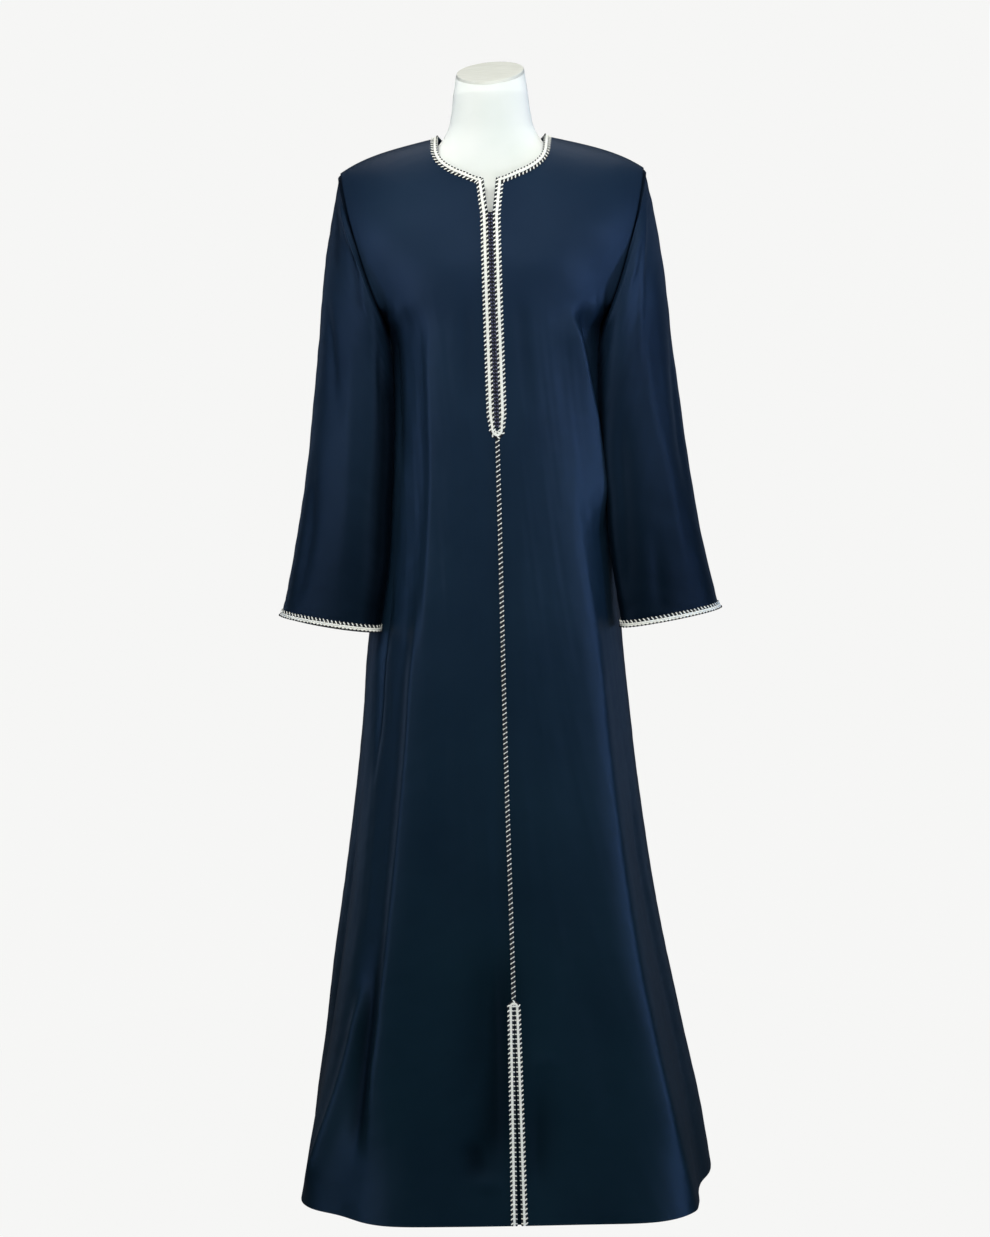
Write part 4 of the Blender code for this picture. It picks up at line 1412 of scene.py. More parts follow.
@dataclass
class Ribbon:
    """A way along the cloth between two rails, for braids, cords and knots.

    Attributes:
        inner: Stations x 3 along one rail.
        outer: Stations x 3 along the other.
        lean: Outward normal at each station.
        closed: Whether the end joins the start.
    """

    inner: Array
    outer: Array
    lean: Array
    closed: bool = False

    def __post_init__(self) -> None:
        """Measures the length of the middle line at each station."""
        if self.closed:
            self.inner = np.concatenate([self.inner, self.inner[:1]])
            self.outer = np.concatenate([self.outer, self.outer[:1]])
            self.lean = np.concatenate([self.lean, self.lean[:1]])
        steps = np.linalg.norm(np.diff((self.inner + self.outer) / 2, axis=0), axis=-1)
        self.length = np.concatenate([[0.0], steps.cumsum()])

    def read(self, rail: Array, along: Array) -> Array:
        """A rail's value at lengths along the ribbon."""
        return np.stack([np.interp(along, self.length, rail[:, k]) for k in range(3)], -1)

    def at(self, along: Array, across: Array, high: Array) -> Array:
        """Points over the ribbon.

        Args:
            along: Length along it, in metres.
            across: 0 on the inner rail and 1 on the outer.
            high: Height over the cloth, in metres.

        Returns:
            The points.
        """
        along, across, high = np.broadcast_arrays(along, across, high)
        inner = self.read(self.inner, along)
        outer = self.read(self.outer, along)
        lean = unit(self.read(self.lean, along))
        return inner + (outer - inner) * across[..., None] + lean * high[..., None]

    def axes(self, along: Array) -> tuple[Array, Array, Array]:
        """Unit vectors along the ribbon, across it to the outer rail, and out from the cloth.

        Args:
            along: Lengths along the ribbon.

        Returns:
            The three sets of vectors.
        """
        step = 0.0006
        middle = (self.inner + self.outer) / 2
        low = np.clip(along - step, 0, self.length[-1])
        high = np.clip(along + step, 0, self.length[-1])
        lean = unit(self.read(self.lean, along))
        tangent = unit(self.read(middle, high) - self.read(middle, low))
        across = self.read(self.outer - self.inner, along)
        across = unit(across - tangent * (across * tangent).sum(-1, keepdims=True))
        return tangent, across, lean

    def strip(self, profile: Array, pitch: float = 0.0025) -> Piece:
        """Carries a closed profile along the ribbon.

        Args:
            profile: Points x 2 as (across, high).
            pitch: Length between stations.

        Returns:
            The solid.
        """
        count = max(4, int(self.length[-1] / pitch))
        along = np.linspace(0, self.length[-1], count + 1)
        if self.closed:
            along = along[:-1]
        rings = self.at(along[:, None], profile[None, :, 0], profile[None, :, 1])
        return lofted("strip", rings, self.closed)

    def places(self, pitch: float, start: float = 0.5) -> Array:
        """Lengths along the ribbon at even steps of about `pitch`, the first `start` steps in."""
        count = max(1, round(self.length[-1] / pitch))
        return (np.arange(count) + start) * self.length[-1] / count

    def tufts(
        self, along: Array, across: Array | float, high: float, slant: Array | float, size: Row
    ) -> Piece:
        """Rounded stitches on the ribbon: copies of a small ball, stretched and turned.

        Args:
            along: Where each stands along the ribbon.
            across: Where each stands across it.
            high: Height of their middles over the cloth.
            slant: Degrees each is turned from the ribbon's run to its outer rail.
            size: Length, width and thickness, in metres.

        Returns:
            All of them as one mesh.
        """
        along, across, slant = np.broadcast_arrays(along, across, slant)
        ball, quads = stitch_ball()
        centre = self.at(along, across, np.full(along.shape, high))
        run, side, lean = self.axes(along)
        turn = np.radians(slant)[:, None]
        length = run * np.cos(turn) + side * np.sin(turn)
        width = side * np.cos(turn) - run * np.sin(turn)
        points = (
            centre[:, None]
            + ball[None, :, 0:1] * length[:, None] * size[0] / 2
            + ball[None, :, 1:2] * width[:, None] * size[1] / 2
            + ball[None, :, 2:3] * lean[:, None] * size[2] / 2
        )
        count = len(ball)
        steps = np.arange(len(along))[:, None, None] * count
        cells = (quads[None] + steps).reshape(-1, 4)
        sides = BALL_SIDES
        ends = [
            tuple(range(k * count + sides - 1, k * count - 1, -1)) for k in range(len(along))
        ] + [tuple(range((k + 1) * count - sides, (k + 1) * count)) for k in range(len(along))]
        piece = Piece("tufts", points.reshape(-1, 3), cells, ends)
        if piece.volume() < 0:
            piece.quads = piece.quads[:, ::-1]
            piece.ends = [face[::-1] for face in piece.ends]
        return piece


BALL_SIDES = 7
BALL_RINGS = 5


def stitch_ball() -> tuple[Array, Array]:
    """A ball of few faces whose ends lie along X: rings at even angles between its two caps.

    Returns:
        Points, and the corner numbers of the cells between the rings.
    """
    polar = np.linspace(0.12, 0.88, BALL_RINGS)[:, None] * np.pi
    turn = np.arange(BALL_SIDES)[None, :] * 2 * np.pi / BALL_SIDES
    x = np.cos(polar) + 0 * turn
    points = np.stack([x, np.sin(polar) * np.cos(turn), np.sin(polar) * np.sin(turn)], -1)
    return points.reshape(-1, 3), grid_quads(BALL_RINGS, BALL_SIDES, ring=True)


def flat_profile(low: float, high: float, under: float, over: float) -> Array:
    """A low strip's profile from one share across to another, its upper corners rounded off.

    Args:
        low: Share across of its first side.
        high: Share across of its other side.
        under: Height of its underside.
        over: Height of its top.

    Returns:
        Points of the profile: share across and height.
    """
    soft = 0.03
    return np.array([
        (low, under),
        (low, (under + over) / 2),
        (low + soft, over),
        (high - soft, over),
        (high, (under + over) / 2),
        (high, under),
    ])


def grooved_profile(low: float, high: float, under: float, over: float, cords: int = 2) -> Array:
    """The profile of cords laid side by side: as many arches as there are cords, on a flat back.

    Args:
        low: Share across of the first cord's edge.
        high: Share across of the last cord's edge.
        under: Height of the back.
        over: Height of the arches.
        cords: How many cords.

    Returns:
        Points of the profile: share across and height.
    """
    f = np.linspace(0, 1, 8 * cords + 1)
    arch = np.sqrt(np.abs(np.sin(np.pi * cords * f)))
    crown = 0.45 + 0.55 * arch
    crown[[0, -1]] = 0.0
    top = np.stack([low + (high - low) * f, under + (over - under) * crown], -1)
    return np.concatenate([[(high, under - 0.0002), (low, under - 0.0002)], top])


@dataclass(frozen=True)
class Teeth:
    """One row of stitches along a braid: place across, pitch, slant, length, width, and shift."""

    across: float
    pitch: float
    slant: float
    long: float
    wide: float
    shift: float = 0.5


@dataclass(frozen=True)
class BraidWork:
    """A soutache-like braid: a dark ground, cream cords laid on it and rows of slanting stitches.

    Attributes:
        name: The CAD node it stands for.
        core: Where the cream cords lie, as shares across.
        cords: How many cords lie side by side.
        cream: Rows of cream stitches.
        dark: Rows of dark stitches.
        ground: Height of the ground's upper face.
        crown: Height of the cords.
        dark_rise: How far the dark stitches stand over the cream ones.
    """

    name: str
    core: tuple[float, float]
    cream: tuple[Teeth, ...]
    dark: tuple[Teeth, ...] = ()
    cords: int = 2
    ground: float = 0.0011
    crown: float = 0.0021
    dark_rise: float = 0.0

    def lay(self, ribbons: Sequence[Ribbon], pale: Silk, deep: Silk) -> list[bpy.types.Object]:
        """Builds the braid along its ribbons.

        Args:
            ribbons: The ways it follows.
            pale: Finish of its cream cords and stitches.
            deep: Finish of its ground and dark stitches.

        Returns:
            The cream piece and the dark piece.
        """
        light: list[Piece] = []
        shade: list[Piece] = []
        for way in ribbons:
            cords = grooved_profile(*self.core, self.ground, self.crown, self.cords)
            light.append(way.strip(cords))
            shade.append(way.strip(flat_profile(0.01, 0.99, SEAM, self.ground)))
            for rows, rise, into in ((self.cream, 0.0, light), (self.dark, self.dark_rise, shade)):
                for row in rows:
                    along = way.places(row.pitch, row.shift)
                    size = (row.long, row.wide, 0.0012)
                    high = self.ground + 0.0002 + rise
                    into.append(way.tufts(along, row.across, high, row.slant, size))
        cream = merged(f"{self.name}_cords", light).build(pale.make())
        ground = merged(f"{self.name}_ground", shade).build(deep.make())
        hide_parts(self.name)
        for made, slot in ((cream, Slot.BRAID), (ground, Slot.KNOT)):
            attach(made, "root")
        return [cream, ground]


# ---------------------------------------------------------------------------------------------
# The cloth

# Places are (degrees round the robe, metres up the cloth). A crease's shade is painted shade.
FRONT_CREASES: tuple[Crease, ...] = (
    # The drawn edge of the chest, from one underarm over to the other.
    Crease(((-68.0, 1.178), (-54.0, 1.184), (-42.2, 1.197), (-33.0, 1.216), (-23.1, 1.236),
            (-3.2, 1.25)), 0.0014, 0.02, 0.2, fade=0.2),
    Crease(((70.0, 1.176), (56.0, 1.184), (44.5, 1.204), (36.0, 1.224), (26.1, 1.237), (4.0, 1.25)),
            0.0016, 0.02, 0.2, fade=0.2),
    Crease(((-76.0, 1.172), (-64.0, 1.17), (-50.0, 1.168)), 0.0046, 0.02, 0.2, fade=0.35),
    Crease(((78.0, 1.176), (66.0, 1.174), (52.0, 1.17)), 0.0056, 0.02, 0.2, fade=0.35),
    # Left half: the long ridge from the chest, its crisp lower part, and the fold at the hem.
    Crease(((-36.0, 1.2), (-37.3, 1.101), (-36.4, 1.025), (-35.7, 0.946), (-36.4, 0.868),
            (-36.6, 0.79), (-37.0, 0.7)), 0.0066, 0.011, 0.6, fade=0.2, lee=0.03),
    Crease(((-40.0, 0.86), (-40.2, 0.7), (-40.1, 0.6), (-39.9, 0.52), (-39.1, 0.4), (-38.2, 0.326),
            (-37.5, 0.25), (-36.9, 0.16), (-35.8, 0.04)), 0.014, 0.012, 0.7, fade=0.18, lee=0.04),
    Crease(((-39.1, 0.41), (-37.5, 0.25), (-36.9, 0.16), (-36.0, 0.06)), 0.0034, 0.012, 0.6,
            lee=0.036),
    Crease(((-46.6, 0.3), (-47.0, 0.22), (-48.6, 0.142), (-51.0, 0.078), (-54.5, 0.005)), 0.01,
            0.011, 0.5, fade=0.2, lee=0.018),
    Crease(((-43.8, 0.34), (-42.6, 0.223), (-41.4, 0.148), (-40.2, 0.07)), -0.006, 0.012, 0.3,
            fade=0.25, shade=0.8),
    Crease(((-59.8, 0.839), (-59.7, 0.681), (-59.0, 0.521)), -0.0046, 0.008, 0.7, fade=0.35),
    # Painted shade beside the hem slit: two troughs carry it, and the third crease is painted shade
    # alone.
    Crease(((-4.2, 0.375), (-4.0, 0.32), (-4.1, 0.26), (-4.6, 0.205), (-5.8, 0.131), (-7.6, 0.082),
            (-7.4, 0.03)), -0.004, 0.025, fade=0.34, shade=0.62),
    Crease(((-10.4, 0.12), (-10.6, 0.085), (-9.6, 0.05)), -0.0026, 0.018, fade=0.42, shade=0.62),
    Crease(((-8.0, 0.38), (-8.8, 0.25), (-9.6, 0.13)), 0.0, 0.03, fade=0.35, shade=0.35),
    Crease(((-69.4, 1.168), (-63.1, 1.05), (-56.3, 0.945)), -0.005, 0.012, 0.4),
    Crease(((-71.0, 0.6), (-73.0, 0.42), (-70.5, 0.21), (-68.0, 0.03)), -0.006, 0.014, 0.5,
            fade=0.35),
    # Right half: the same, with the drag lines that run from the bust to the underarm.
    Crease(((12.5, 1.209), (15.8, 1.126), (18.5, 1.022)), -0.002, 0.012, 0.2, shade=0.15),
    Crease(((-12.5, 1.209), (-14.0, 1.126), (-16.5, 1.022)), -0.0016, 0.012, 0.2, shade=0.12),
    Crease(((41.0, 1.195), (48.0, 1.126), (52.7, 1.071), (56.6, 1.019), (59.4, 0.94), (61.0, 0.86)),
            0.0145, 0.024, 0.6, fade=0.2, lee=0.01),
    Crease(((42.8, 0.99), (43.4, 0.89), (44.3, 0.811), (44.7, 0.731), (44.2, 0.653), (42.8, 0.53),
            (41.4, 0.421), (40.2, 0.32), (39.2, 0.23), (39.0, 0.14), (40.2, 0.06), (41.4, -0.02),
            (42.0, -0.12), (42.5, -0.22)), 0.009, 0.036, 0.7, fade=0.32, lee=0.028),
    Crease(((40.2, 0.32), (39.2, 0.23), (39.0, 0.14), (40.0, 0.07)), 0.0034, 0.024, 0.4, fade=0.35,
            lee=0.02),
    Crease(((26.6, 0.301), (25.7, 0.201), (23.8, 0.091)), -0.0016, 0.02, fade=0.4),
    Crease(((5.3, 0.195), (5.5, 0.13), (4.8, 0.081), (5.6, 0.03)), -0.0032, 0.019, fade=0.42,
            shade=0.42),
    Crease(((2.6, 0.184), (8.0, 0.2), (13.2, 0.21)), 0.0016, 0.011, fade=0.35),
    Crease(((-2.8, 0.04), (-6.5, 0.052), (-11.0, 0.046)), 0.0022, 0.012, fade=0.35),
    Crease(((48.1, 1.192), (60.3, 1.097), (67.2, 1.017)), -0.005, 0.008, 0.6),
    Crease(((75.0, 1.161), (85.7, 1.015), (84.5, 0.88), (83.8, 0.773)), -0.0045, 0.01, 0.5),
    Crease(((64.0, 0.62), (62.0, 0.44), (64.5, 0.22), (60.0, 0.03)), -0.003, 0.016, 0.4, fade=0.35),
)
BACK_CREASES: tuple[Crease, ...] = (
    Crease(((128.0, 1.06), (133.0, 0.86), (136.0, 0.62), (138.0, 0.36), (142.0, 0.06)), 0.0046,
            0.013, 0.8),
    Crease(((157.0, 0.98), (159.5, 0.74), (163.0, 0.48), (160.0, 0.2)), -0.005, 0.012, 0.5),
    Crease(((181.0, 1.1), (184.0, 0.88), (185.5, 0.6), (190.0, 0.3), (188.0, 0.02)), 0.004, 0.013,
            0.7),
    Crease(((203.0, 0.92), (207.0, 0.66), (208.0, 0.4), (213.0, 0.12)), -0.0055, 0.012, 0.6),
    Crease(((231.0, 1.04), (228.0, 0.8), (231.0, 0.52), (234.0, 0.22), (230.0, 0.02)), 0.0052,
            0.012, 0.8),
    Crease(((172.0, 0.4), (174.0, 0.22), (171.0, 0.03)), 0.0042, 0.013, 0.6),
    Crease(((112.0, 0.78), (114.0, 0.52), (117.0, 0.28), (113.0, 0.05)), -0.005, 0.012, 0.5),
    Crease(((250.0, 0.7), (248.0, 0.46), (252.0, 0.2)), -0.0046, 0.012, 0.5),
    Crease(((148.0, 1.17), (128.0, 1.12), (112.0, 1.03)), -0.0036, 0.011, 0.4, fade=0.4),
    Crease(((206.0, 1.19), (226.0, 1.13), (247.0, 1.05)), -0.0042, 0.012, 0.5, fade=0.4),
    Crease(((160.0, 1.28), (178.0, 1.265), (197.0, 1.285)), 0.0028, 0.013, 0.3, fade=0.45),
)
# Places are (degrees from the outer line, the front positive; row of the table of lines). A
# crease's shade is painted shade.
SLEEVE_CREASES: dict[Side, tuple[Crease, ...]] = {
    Side.LEFT: (
        Crease(((36.4, 0.6), (53.8, 0.86), (72.1, 0.98), (89.2, 1.02)), 0.003, 0.006, 0.8,
                fade=0.25),
        Crease(((83.3, 3.0), (86.2, 5.6), (91.9, 7.9), (93.6, 10.2)), 0.0022, 0.014, 0.3),
        Crease(((12.0, 0.9), (34.4, 1.4), (48.0, 1.9)), -0.001, 0.008, 0.2, shade=0.75),
        Crease(((128.4, 1.3), (137.5, 4.8), (133.5, 7.6), (143.1, 9.9)), -0.006, 0.014, 0.3,
                fade=0.25),
        Crease(((62.0, 1.0), (84.0, 1.8), (92.0, 2.9)), -0.002, 0.018, 0.2, shade=0.5),
        # Painted shade alone, with no rise, on the top of the left sleeve.
        Crease(((32.0, 0.8), (42.0, 1.9), (50.0, 3.1)), 0.0, 0.02, fade=0.35, shade=0.52),
        Crease(((30.0, 3.4), (52.0, 4.6), (66.0, 6.0)), -0.003, 0.013, 0.3, fade=0.4),
        Crease(((28.0, 6.6), (44.0, 8.6), (40.0, 10.6)), -0.0032, 0.013, 0.3, fade=0.4),
        Crease(((-20.0, 4.3), (-62.0, 5.0), (-105.0, 5.3)), -0.0042, 0.011, 0.6, fade=0.35),
        Crease(((-35.0, 3.3), (-78.0, 4.0), (-124.0, 4.6)), 0.0036, 0.012, 0.5, fade=0.35),
        Crease(((-70.0, 6.4), (-84.0, 8.2), (-80.0, 10.4)), 0.004, 0.014, 0.4),
        Crease(((-128.0, 5.8), (-120.0, 8.0), (-126.0, 10.2)), -0.004, 0.013, 0.4),
    ),
    Side.RIGHT: (
        Crease(((28.2, 0.6), (51.1, 1.43), (68.5, 2.52), (79.4, 3.67), (85.7, 4.8)), 0.0026, 0.0065,
                0.8),
        Crease(((46.5, 0.9), (70.0, 1.5), (93.8, 2.1)), 0.0024, 0.012, 0.4),
        Crease(((71.8, 3.4), (72.6, 5.5), (60.2, 7.4), (60.0, 10.4)), 0.0024, 0.013, 0.4,
                fade=0.25),
        Crease(((11.2, 4.2), (28.9, 6.0), (31.5, 8.4)), -0.004, 0.012, 0.4, fade=0.35),
        Crease(((119.7, 4.4), (127.9, 7.75), (138.9, 10.2)), -0.0055, 0.014, 0.3),
        Crease(((88.0, 8.0), (97.0, 9.6), (104.0, 11.0)), -0.0032, 0.011, 0.3, fade=0.35),
        Crease(((-24.0, 3.9), (-66.0, 4.7), (-112.0, 4.9)), -0.0044, 0.011, 0.6, fade=0.35),
        Crease(((-30.0, 5.3), (-74.0, 5.7), (-118.0, 6.4)), 0.0034, 0.012, 0.5, fade=0.35),
        Crease(((-58.0, 7.0), (-66.0, 8.8), (-60.0, 10.8)), 0.0042, 0.014, 0.4),
        Crease(((-116.0, 6.8), (-124.0, 8.8), (-118.0, 10.6)), -0.0038, 0.013, 0.4),
    ),
}


@dataclass(frozen=True)
class ClothCut:
    """How one piece was cut: its width, length and area laid flat, in metres."""

    width: float
    length: float
    area: float


@dataclass
class Robe:
    """The cut pieces of cloth: two front halves, the back and two sleeves.

    Attributes:
        shape: The worn form.
        finish: The cloth's material.
        thick: Thickness of the cloth.
        hem_thick: What the turned-up hem adds to it.
        hem_deep: Height of that hem.
        columns: Columns of each half of the front.
        back_columns: Columns of each half of the back.
        skirt_rows: Rows from the hem to the underarm.
        yoke_rows: Rows from there to the neck.
        sleeve_rows: Rings of a sleeve.
        seam_dip: Depth of the groove along the side seams.
        seam_wide: Half the width of a seam's groove.
        armhole_step: Depth of the groove where the sleeve is sewn in.
        slit_strip_thick: Thickness of the dark strip behind the hem slit, which stands in for shade.
        arm_shade: Depth of painted shade behind the hanging sleeves and along their inner edge.
        seam_shade: Depth of painted shade along the armhole's seam and the left sleeve's inner side.
        seam_shade_wide: Half the width of that painted shade on the body.
        calm_side: Distance from the armhole at which creases have their full height.
        calm_neck: Distances from the neck at which creases start and have their full height.
        calm_cuff: Rows of the sleeve at which creases end and still have their full height.
        sleeve_row: Mean length of a row of the sleeve's table.
        sleeve_round: Mean radius of a sleeve.
        crown_rise: Height of the sleeve's soft roll beside the seam.
        allowance: How far the seam allowance of the sleeve is turned in.
        allowance_under: How far it lies under the armhole's edge.
        slit_strip_half: Half the width of that strip.
        slit_strip_ends: Heights of that strip's foot and top.
    """

    shape: RobeShape = field(default_factory=RobeShape)
    finish: Crepe = field(default_factory=Crepe)
    thick: float = 0.0016
    hem_thick: float = 0.0008
    hem_deep: float = 0.022
    columns: int = 96
    back_columns: int = 82
    skirt_rows: int = 229
    yoke_rows: int = 70
    sleeve_rows: int = 121
    seam_dip: float = 0.0007
    seam_wide: float = 0.0035
    armhole_step: float = 0.0030
    slit_strip_thick: float = 0.0008
    arm_shade: float = 0.8
    seam_shade: float = 0.95
    seam_shade_wide: float = 0.0024
    calm_side: float = 0.014
    calm_neck: Row = (0.011, 0.034)
    calm_cuff: Row = (11.9, 10.6)
    sleeve_row: float = 0.052
    sleeve_round: float = 0.05
    crown_rise: float = 0.0016
    allowance: float = 0.0032
    allowance_under: float = 0.0024
    slit_strip_half: float = 0.022
    slit_strip_ends: Row = (0.0035, 0.2830)

    def __post_init__(self) -> None:
        """Works out the base grids of the four panel halves."""
        self.halves: dict[tuple[bool, Side], PanelGrid] = {}
        for front in (True, False):
            columns = self.columns if front else self.back_columns
            for side in Side:
                self.halves[front, side] = self.shape.half_panel(
                    front, side, columns, self.skirt_rows, self.yoke_rows
                )

    def armhole(self, side: Side) -> tuple[Array, Array]:
        """The armhole's edge, from the underarm up the front and down the back.

        Args:
            side: Which armhole.

        Returns:
            Its points as on the right side, and the turn in radians that each stands for.
        """
        edges = []
        for front in (True, False):
            grid = self.halves[front, side]
            edge = grid.points[grid.armpit : grid.tip + 1, -1].copy()
            edge[:, 0] *= side.value
            edges.append(edge)
        loop = np.concatenate([edges[0], edges[1][-2:0:-1]])
        climb = (edges[0][:, 2] - self.shape.armpit) / (edges[0][-1, 2] - self.shape.armpit)
        turn = np.arccos(np.clip(2 * climb - 1, -1, 1))
        return loop, np.concatenate([turn, -turn[-2:0:-1]])

    def undulation(self, turn: Array, level: Array) -> Array:
        """Low waves of the hanging cloth: slow ones, and narrow ones drawn out along the fall.

        Args:
            turn: Degrees from the front.
            level: Levels of the panel.

        Returns:
            The height of the waves at each place.
        """
        across = np.radians(turn) * self.shape.mean_radius
        slow = 0.0009 * ripple(11, across, level * 0.6, 0.16)
        narrow = 0.0003 * ripple(23, across, level * 0.16, 0.045)
        fine = 0.00022 * ripple(31, across, level * 0.7, 0.022, 12)
        return (slow + narrow + fine) * (1 - 0.8 * ease(level, 1.08, 1.22))

    def shaped(self, front: bool, side: Side) -> tuple[Array, Array, Array]:
        """One panel half with its creases.

        The base grid is moved out along its normals by the creases and the low waves, which sink
        to nothing at the neck, the armhole, the shoulder and the centre front, where others join.

        Args:
            front: The front or the back.
            side: Which half.

        Returns:
            Points of the outer face, outward normals for the inner face, and painted shade.
        """
        grid = self.shape.softened(self.halves[front, side])
        facing = side.value * (1 if front else -1)
        lean = grid_normals(grid.points) * facing
        creases = FRONT_CREASES if front else BACK_CREASES
        scale = grid_scale(grid)
        lift = self.undulation(grid.turn, grid.level)
        # Painted shade behind the hanging sleeves and in the creases that carry a shade.
        shade = self.under_arm_painted_shade(grid)
        for crease in creases:
            share = crease.profile(grid.turn, grid.level, scale)
            lift = lift + crease.rise * share
            shade = np.maximum(shade, crease.shade * share)
        edge = np.linalg.norm(grid.points - grid.points[:, -1:], axis=-1)
        above = ease(grid.level, self.shape.armpit - 0.05, self.shape.armpit)
        # Painted shade along the armhole's seam.
        seam = self.seam_shade * bell(edge, 0.0, self.seam_shade_wide) * above
        shade = np.maximum(shade, seam)
        lift = lift * (1 - above * (1 - ease(edge, 0.0, self.calm_side)))
        lift = lift * ease(lengths_on(grid.points), *self.calm_neck)
        if front:
            # Creases keep clear of the cord and, from about a metre up, of the wider placket.
            high = ease(grid.level, 0.96, 1.02)
            away = np.abs(grid.points[..., 0] - self.shape.drift(grid.points[..., 2]))
            lift = lift * ease(away, 0.0125 + 0.0065 * high, 0.028 + 0.012 * high)
        lift = lift - self.seam_dip * bell(edge, 0.0, self.seam_wide) * (1 - above)
        return grid.points + lean * lift[..., None], lean, shade

    def under_arm_painted_shade(self, grid: PanelGrid) -> Array:
        """Painted shade on each place of a panel that lies behind the hanging sleeve, from 0 to 1.

        Args:
            grid: The panel half.

        Returns:
            The painted shade at each place.
        """
        # The painted shade starts 60 degrees out on the left half, 76 on the right, and ends at 126
        # behind.
        turn = np.abs((grid.turn + 180) % 360 - 180)
        start = np.where(grid.turn < 0, 60, 76)
        around = ease(turn - start, 0, 14) * (1 - ease(turn, 112, 126))
        above_cuff = self.arm_shade * around * ease(grid.level, 0.72, 0.82)
        return above_cuff * (1 - ease(grid.level, 1.12, 1.16))

    def wall_of(self, name: str, outer: Array, lean: Array, shade: Array) -> Piece:
        """Gives a panel its thickness, a little more in the turned-up hem.

        Args:
            name: Name of the piece.
            outer: Its outer face.
            lean: Outward normals.
            shade: Painted shade.

        Returns:
            The piece.
        """
        thick = np.full(outer.shape[:2], self.thick)
        thick += self.hem_thick * (1 - ease(outer[..., 2], self.hem_deep, self.hem_deep + 0.002))
        return cloth_wall(name, outer, outer - lean * thick[..., None], shade)

    def sleeve(self, side: Side) -> tuple[Array, Array, Array, Array]:
        """One sleeve's outer face.

        The rings start on the armhole's own edge: what that edge differs from the first oval fades
        out over the next rings.

        Args:
            side: Which sleeve.

        Returns:
            Points, outward normals, the steps of the rings, and painted shade.
        """
        loop, turn = self.armhole(side)
        step = np.linspace(0, len(self.shape.sleeve_lines) - 1, self.sleeve_rows)
        rings = self.shape.sleeve_ring(step, turn, side)
        loop = loop + self.shape.armhole_out * SEAM * 1.3
        rings = rings + (loop - rings[0]) * (1 - ease(step, 0, 1.5))[:, None, None]
        lean = -grid_normals(rings, ring=True)
        level = np.broadcast_to(step[:, None], rings.shape[:2])
        turns = np.broadcast_to(np.degrees(turn)[None, :], rings.shape[:2])
        grid = PanelGrid(rings, turns, level, 0, 0)
        across = np.linalg.norm(np.roll(rings, -1, 1) - np.roll(rings, 1, 1), axis=-1) / 2
        degrees = np.degrees(np.abs(np.gradient(turn)))
        scale = (across / np.maximum(degrees, 0.5)[None, :], grid_scale(grid)[1])
        seed = 41 if side is Side.RIGHT else 47
        # The low waves go round the sleeve without a step, as its ring is a circle to them.
        fall = level * self.sleeve_row
        cos, sin = np.cos(np.radians(turns)), np.sin(np.radians(turns))
        forward, outward = sin * self.sleeve_round, cos * self.sleeve_round
        lift = 0.0009 * ripple(seed, outward + forward * 0.7, fall * 0.5, 0.07)
        lift += 0.0003 * ripple(seed + 1, outward, forward + fall, 0.03)
        # Painted shade along the sleeve's inner edge, next to the body.
        shade = self.arm_shade * ease(np.abs(turns), 138, 162) * ease(level, 0.5, 1.5)
        # Painted shade: each sleeve is darker lower down, where it hangs out of the light, and the
        # left one too on the side that is turned to the body.
        if side is Side.LEFT:
            under = self.seam_shade * ease(turns, 106, 146) * ease(level, 1.0, 4.0)
            shade = np.maximum(shade, under)
            hangs = 0.22 + 0.26 * ease(level, 5, 10)
            seam_reach = 0.034
        else:
            hangs = 0.40 * ease(level, 2.2, 4.6) + 0.28 * ease(level, 5, 10)
            seam_reach = 0.017
        shade = np.maximum(shade, hangs)
        for crease in SLEEVE_CREASES[side]:
            share = crease.profile(turns, level, scale)
            lift = lift + crease.rise * share
            shade = np.maximum(shade, crease.shade * share)
        lift = lift * ease(fall, 0.0, 0.035) * ease(level, *self.calm_cuff)
        lift = lift + self.crown_rise * bell(fall, 0.0095, 0.0042) * ease(cos, -0.6, 0.2)
        # Painted shade along the armhole's seam, on the front of the sleeve.
        seam = self.seam_shade * (1 - ease(fall, 0.003, seam_reach)) * ease(sin, 0, 0.4)
        shade = np.maximum(shade, seam)
        lift = lift - self.armhole_step * bell(fall, 0.0, self.seam_wide)
        return rings + lean * lift[..., None], lean, step, shade

    def turned_in(self, rings: Array, lean: Array, shade: Array) -> tuple[Array, Array, Array]:
        """Adds the sleeve's seam allowance, one narrow row turned in behind the armhole's edge.

        Args:
            rings: The sleeve's outer face.
            lean: Its outward normals.
            shade: Its painted shade.

        Returns:
            The three with the row added in front.
        """
        inward = unit(rings[0].mean(axis=0) - rings[:1])
        row = rings[:1] - self.shape.armhole_out * self.allowance + inward * self.allowance_under
        return (
            np.concatenate([row, rings]),
            np.concatenate([lean[:1], lean]),
            # The turned-in row takes the seam's full painted shade.
            np.concatenate([np.full_like(shade[:1], self.seam_shade), shade]),
        )

    def slit_facing(self) -> Piece:
        """A dark strip of the cloth just inside the front halves' inner face behind the hem slit,
        standing in for the shade inside the robe; its colour carries painted shade all over.

        Returns:
            The piece.
        """
        x = np.linspace(-self.slit_strip_half, self.slit_strip_half, 23)[None, :]
        z = np.linspace(*self.slit_strip_ends, 91)[:, None]
        points, lean = self.shape.front_at(x, z)
        depth = self.thick + self.hem_thick + 2 * SEAM
        outer = points - lean * depth
        inner = outer - lean * self.slit_strip_thick
        # Painted shade over the whole strip.
        return cloth_wall("hem_slit_facing_cloth", outer, inner, np.full(outer.shape[:2], 0.6))

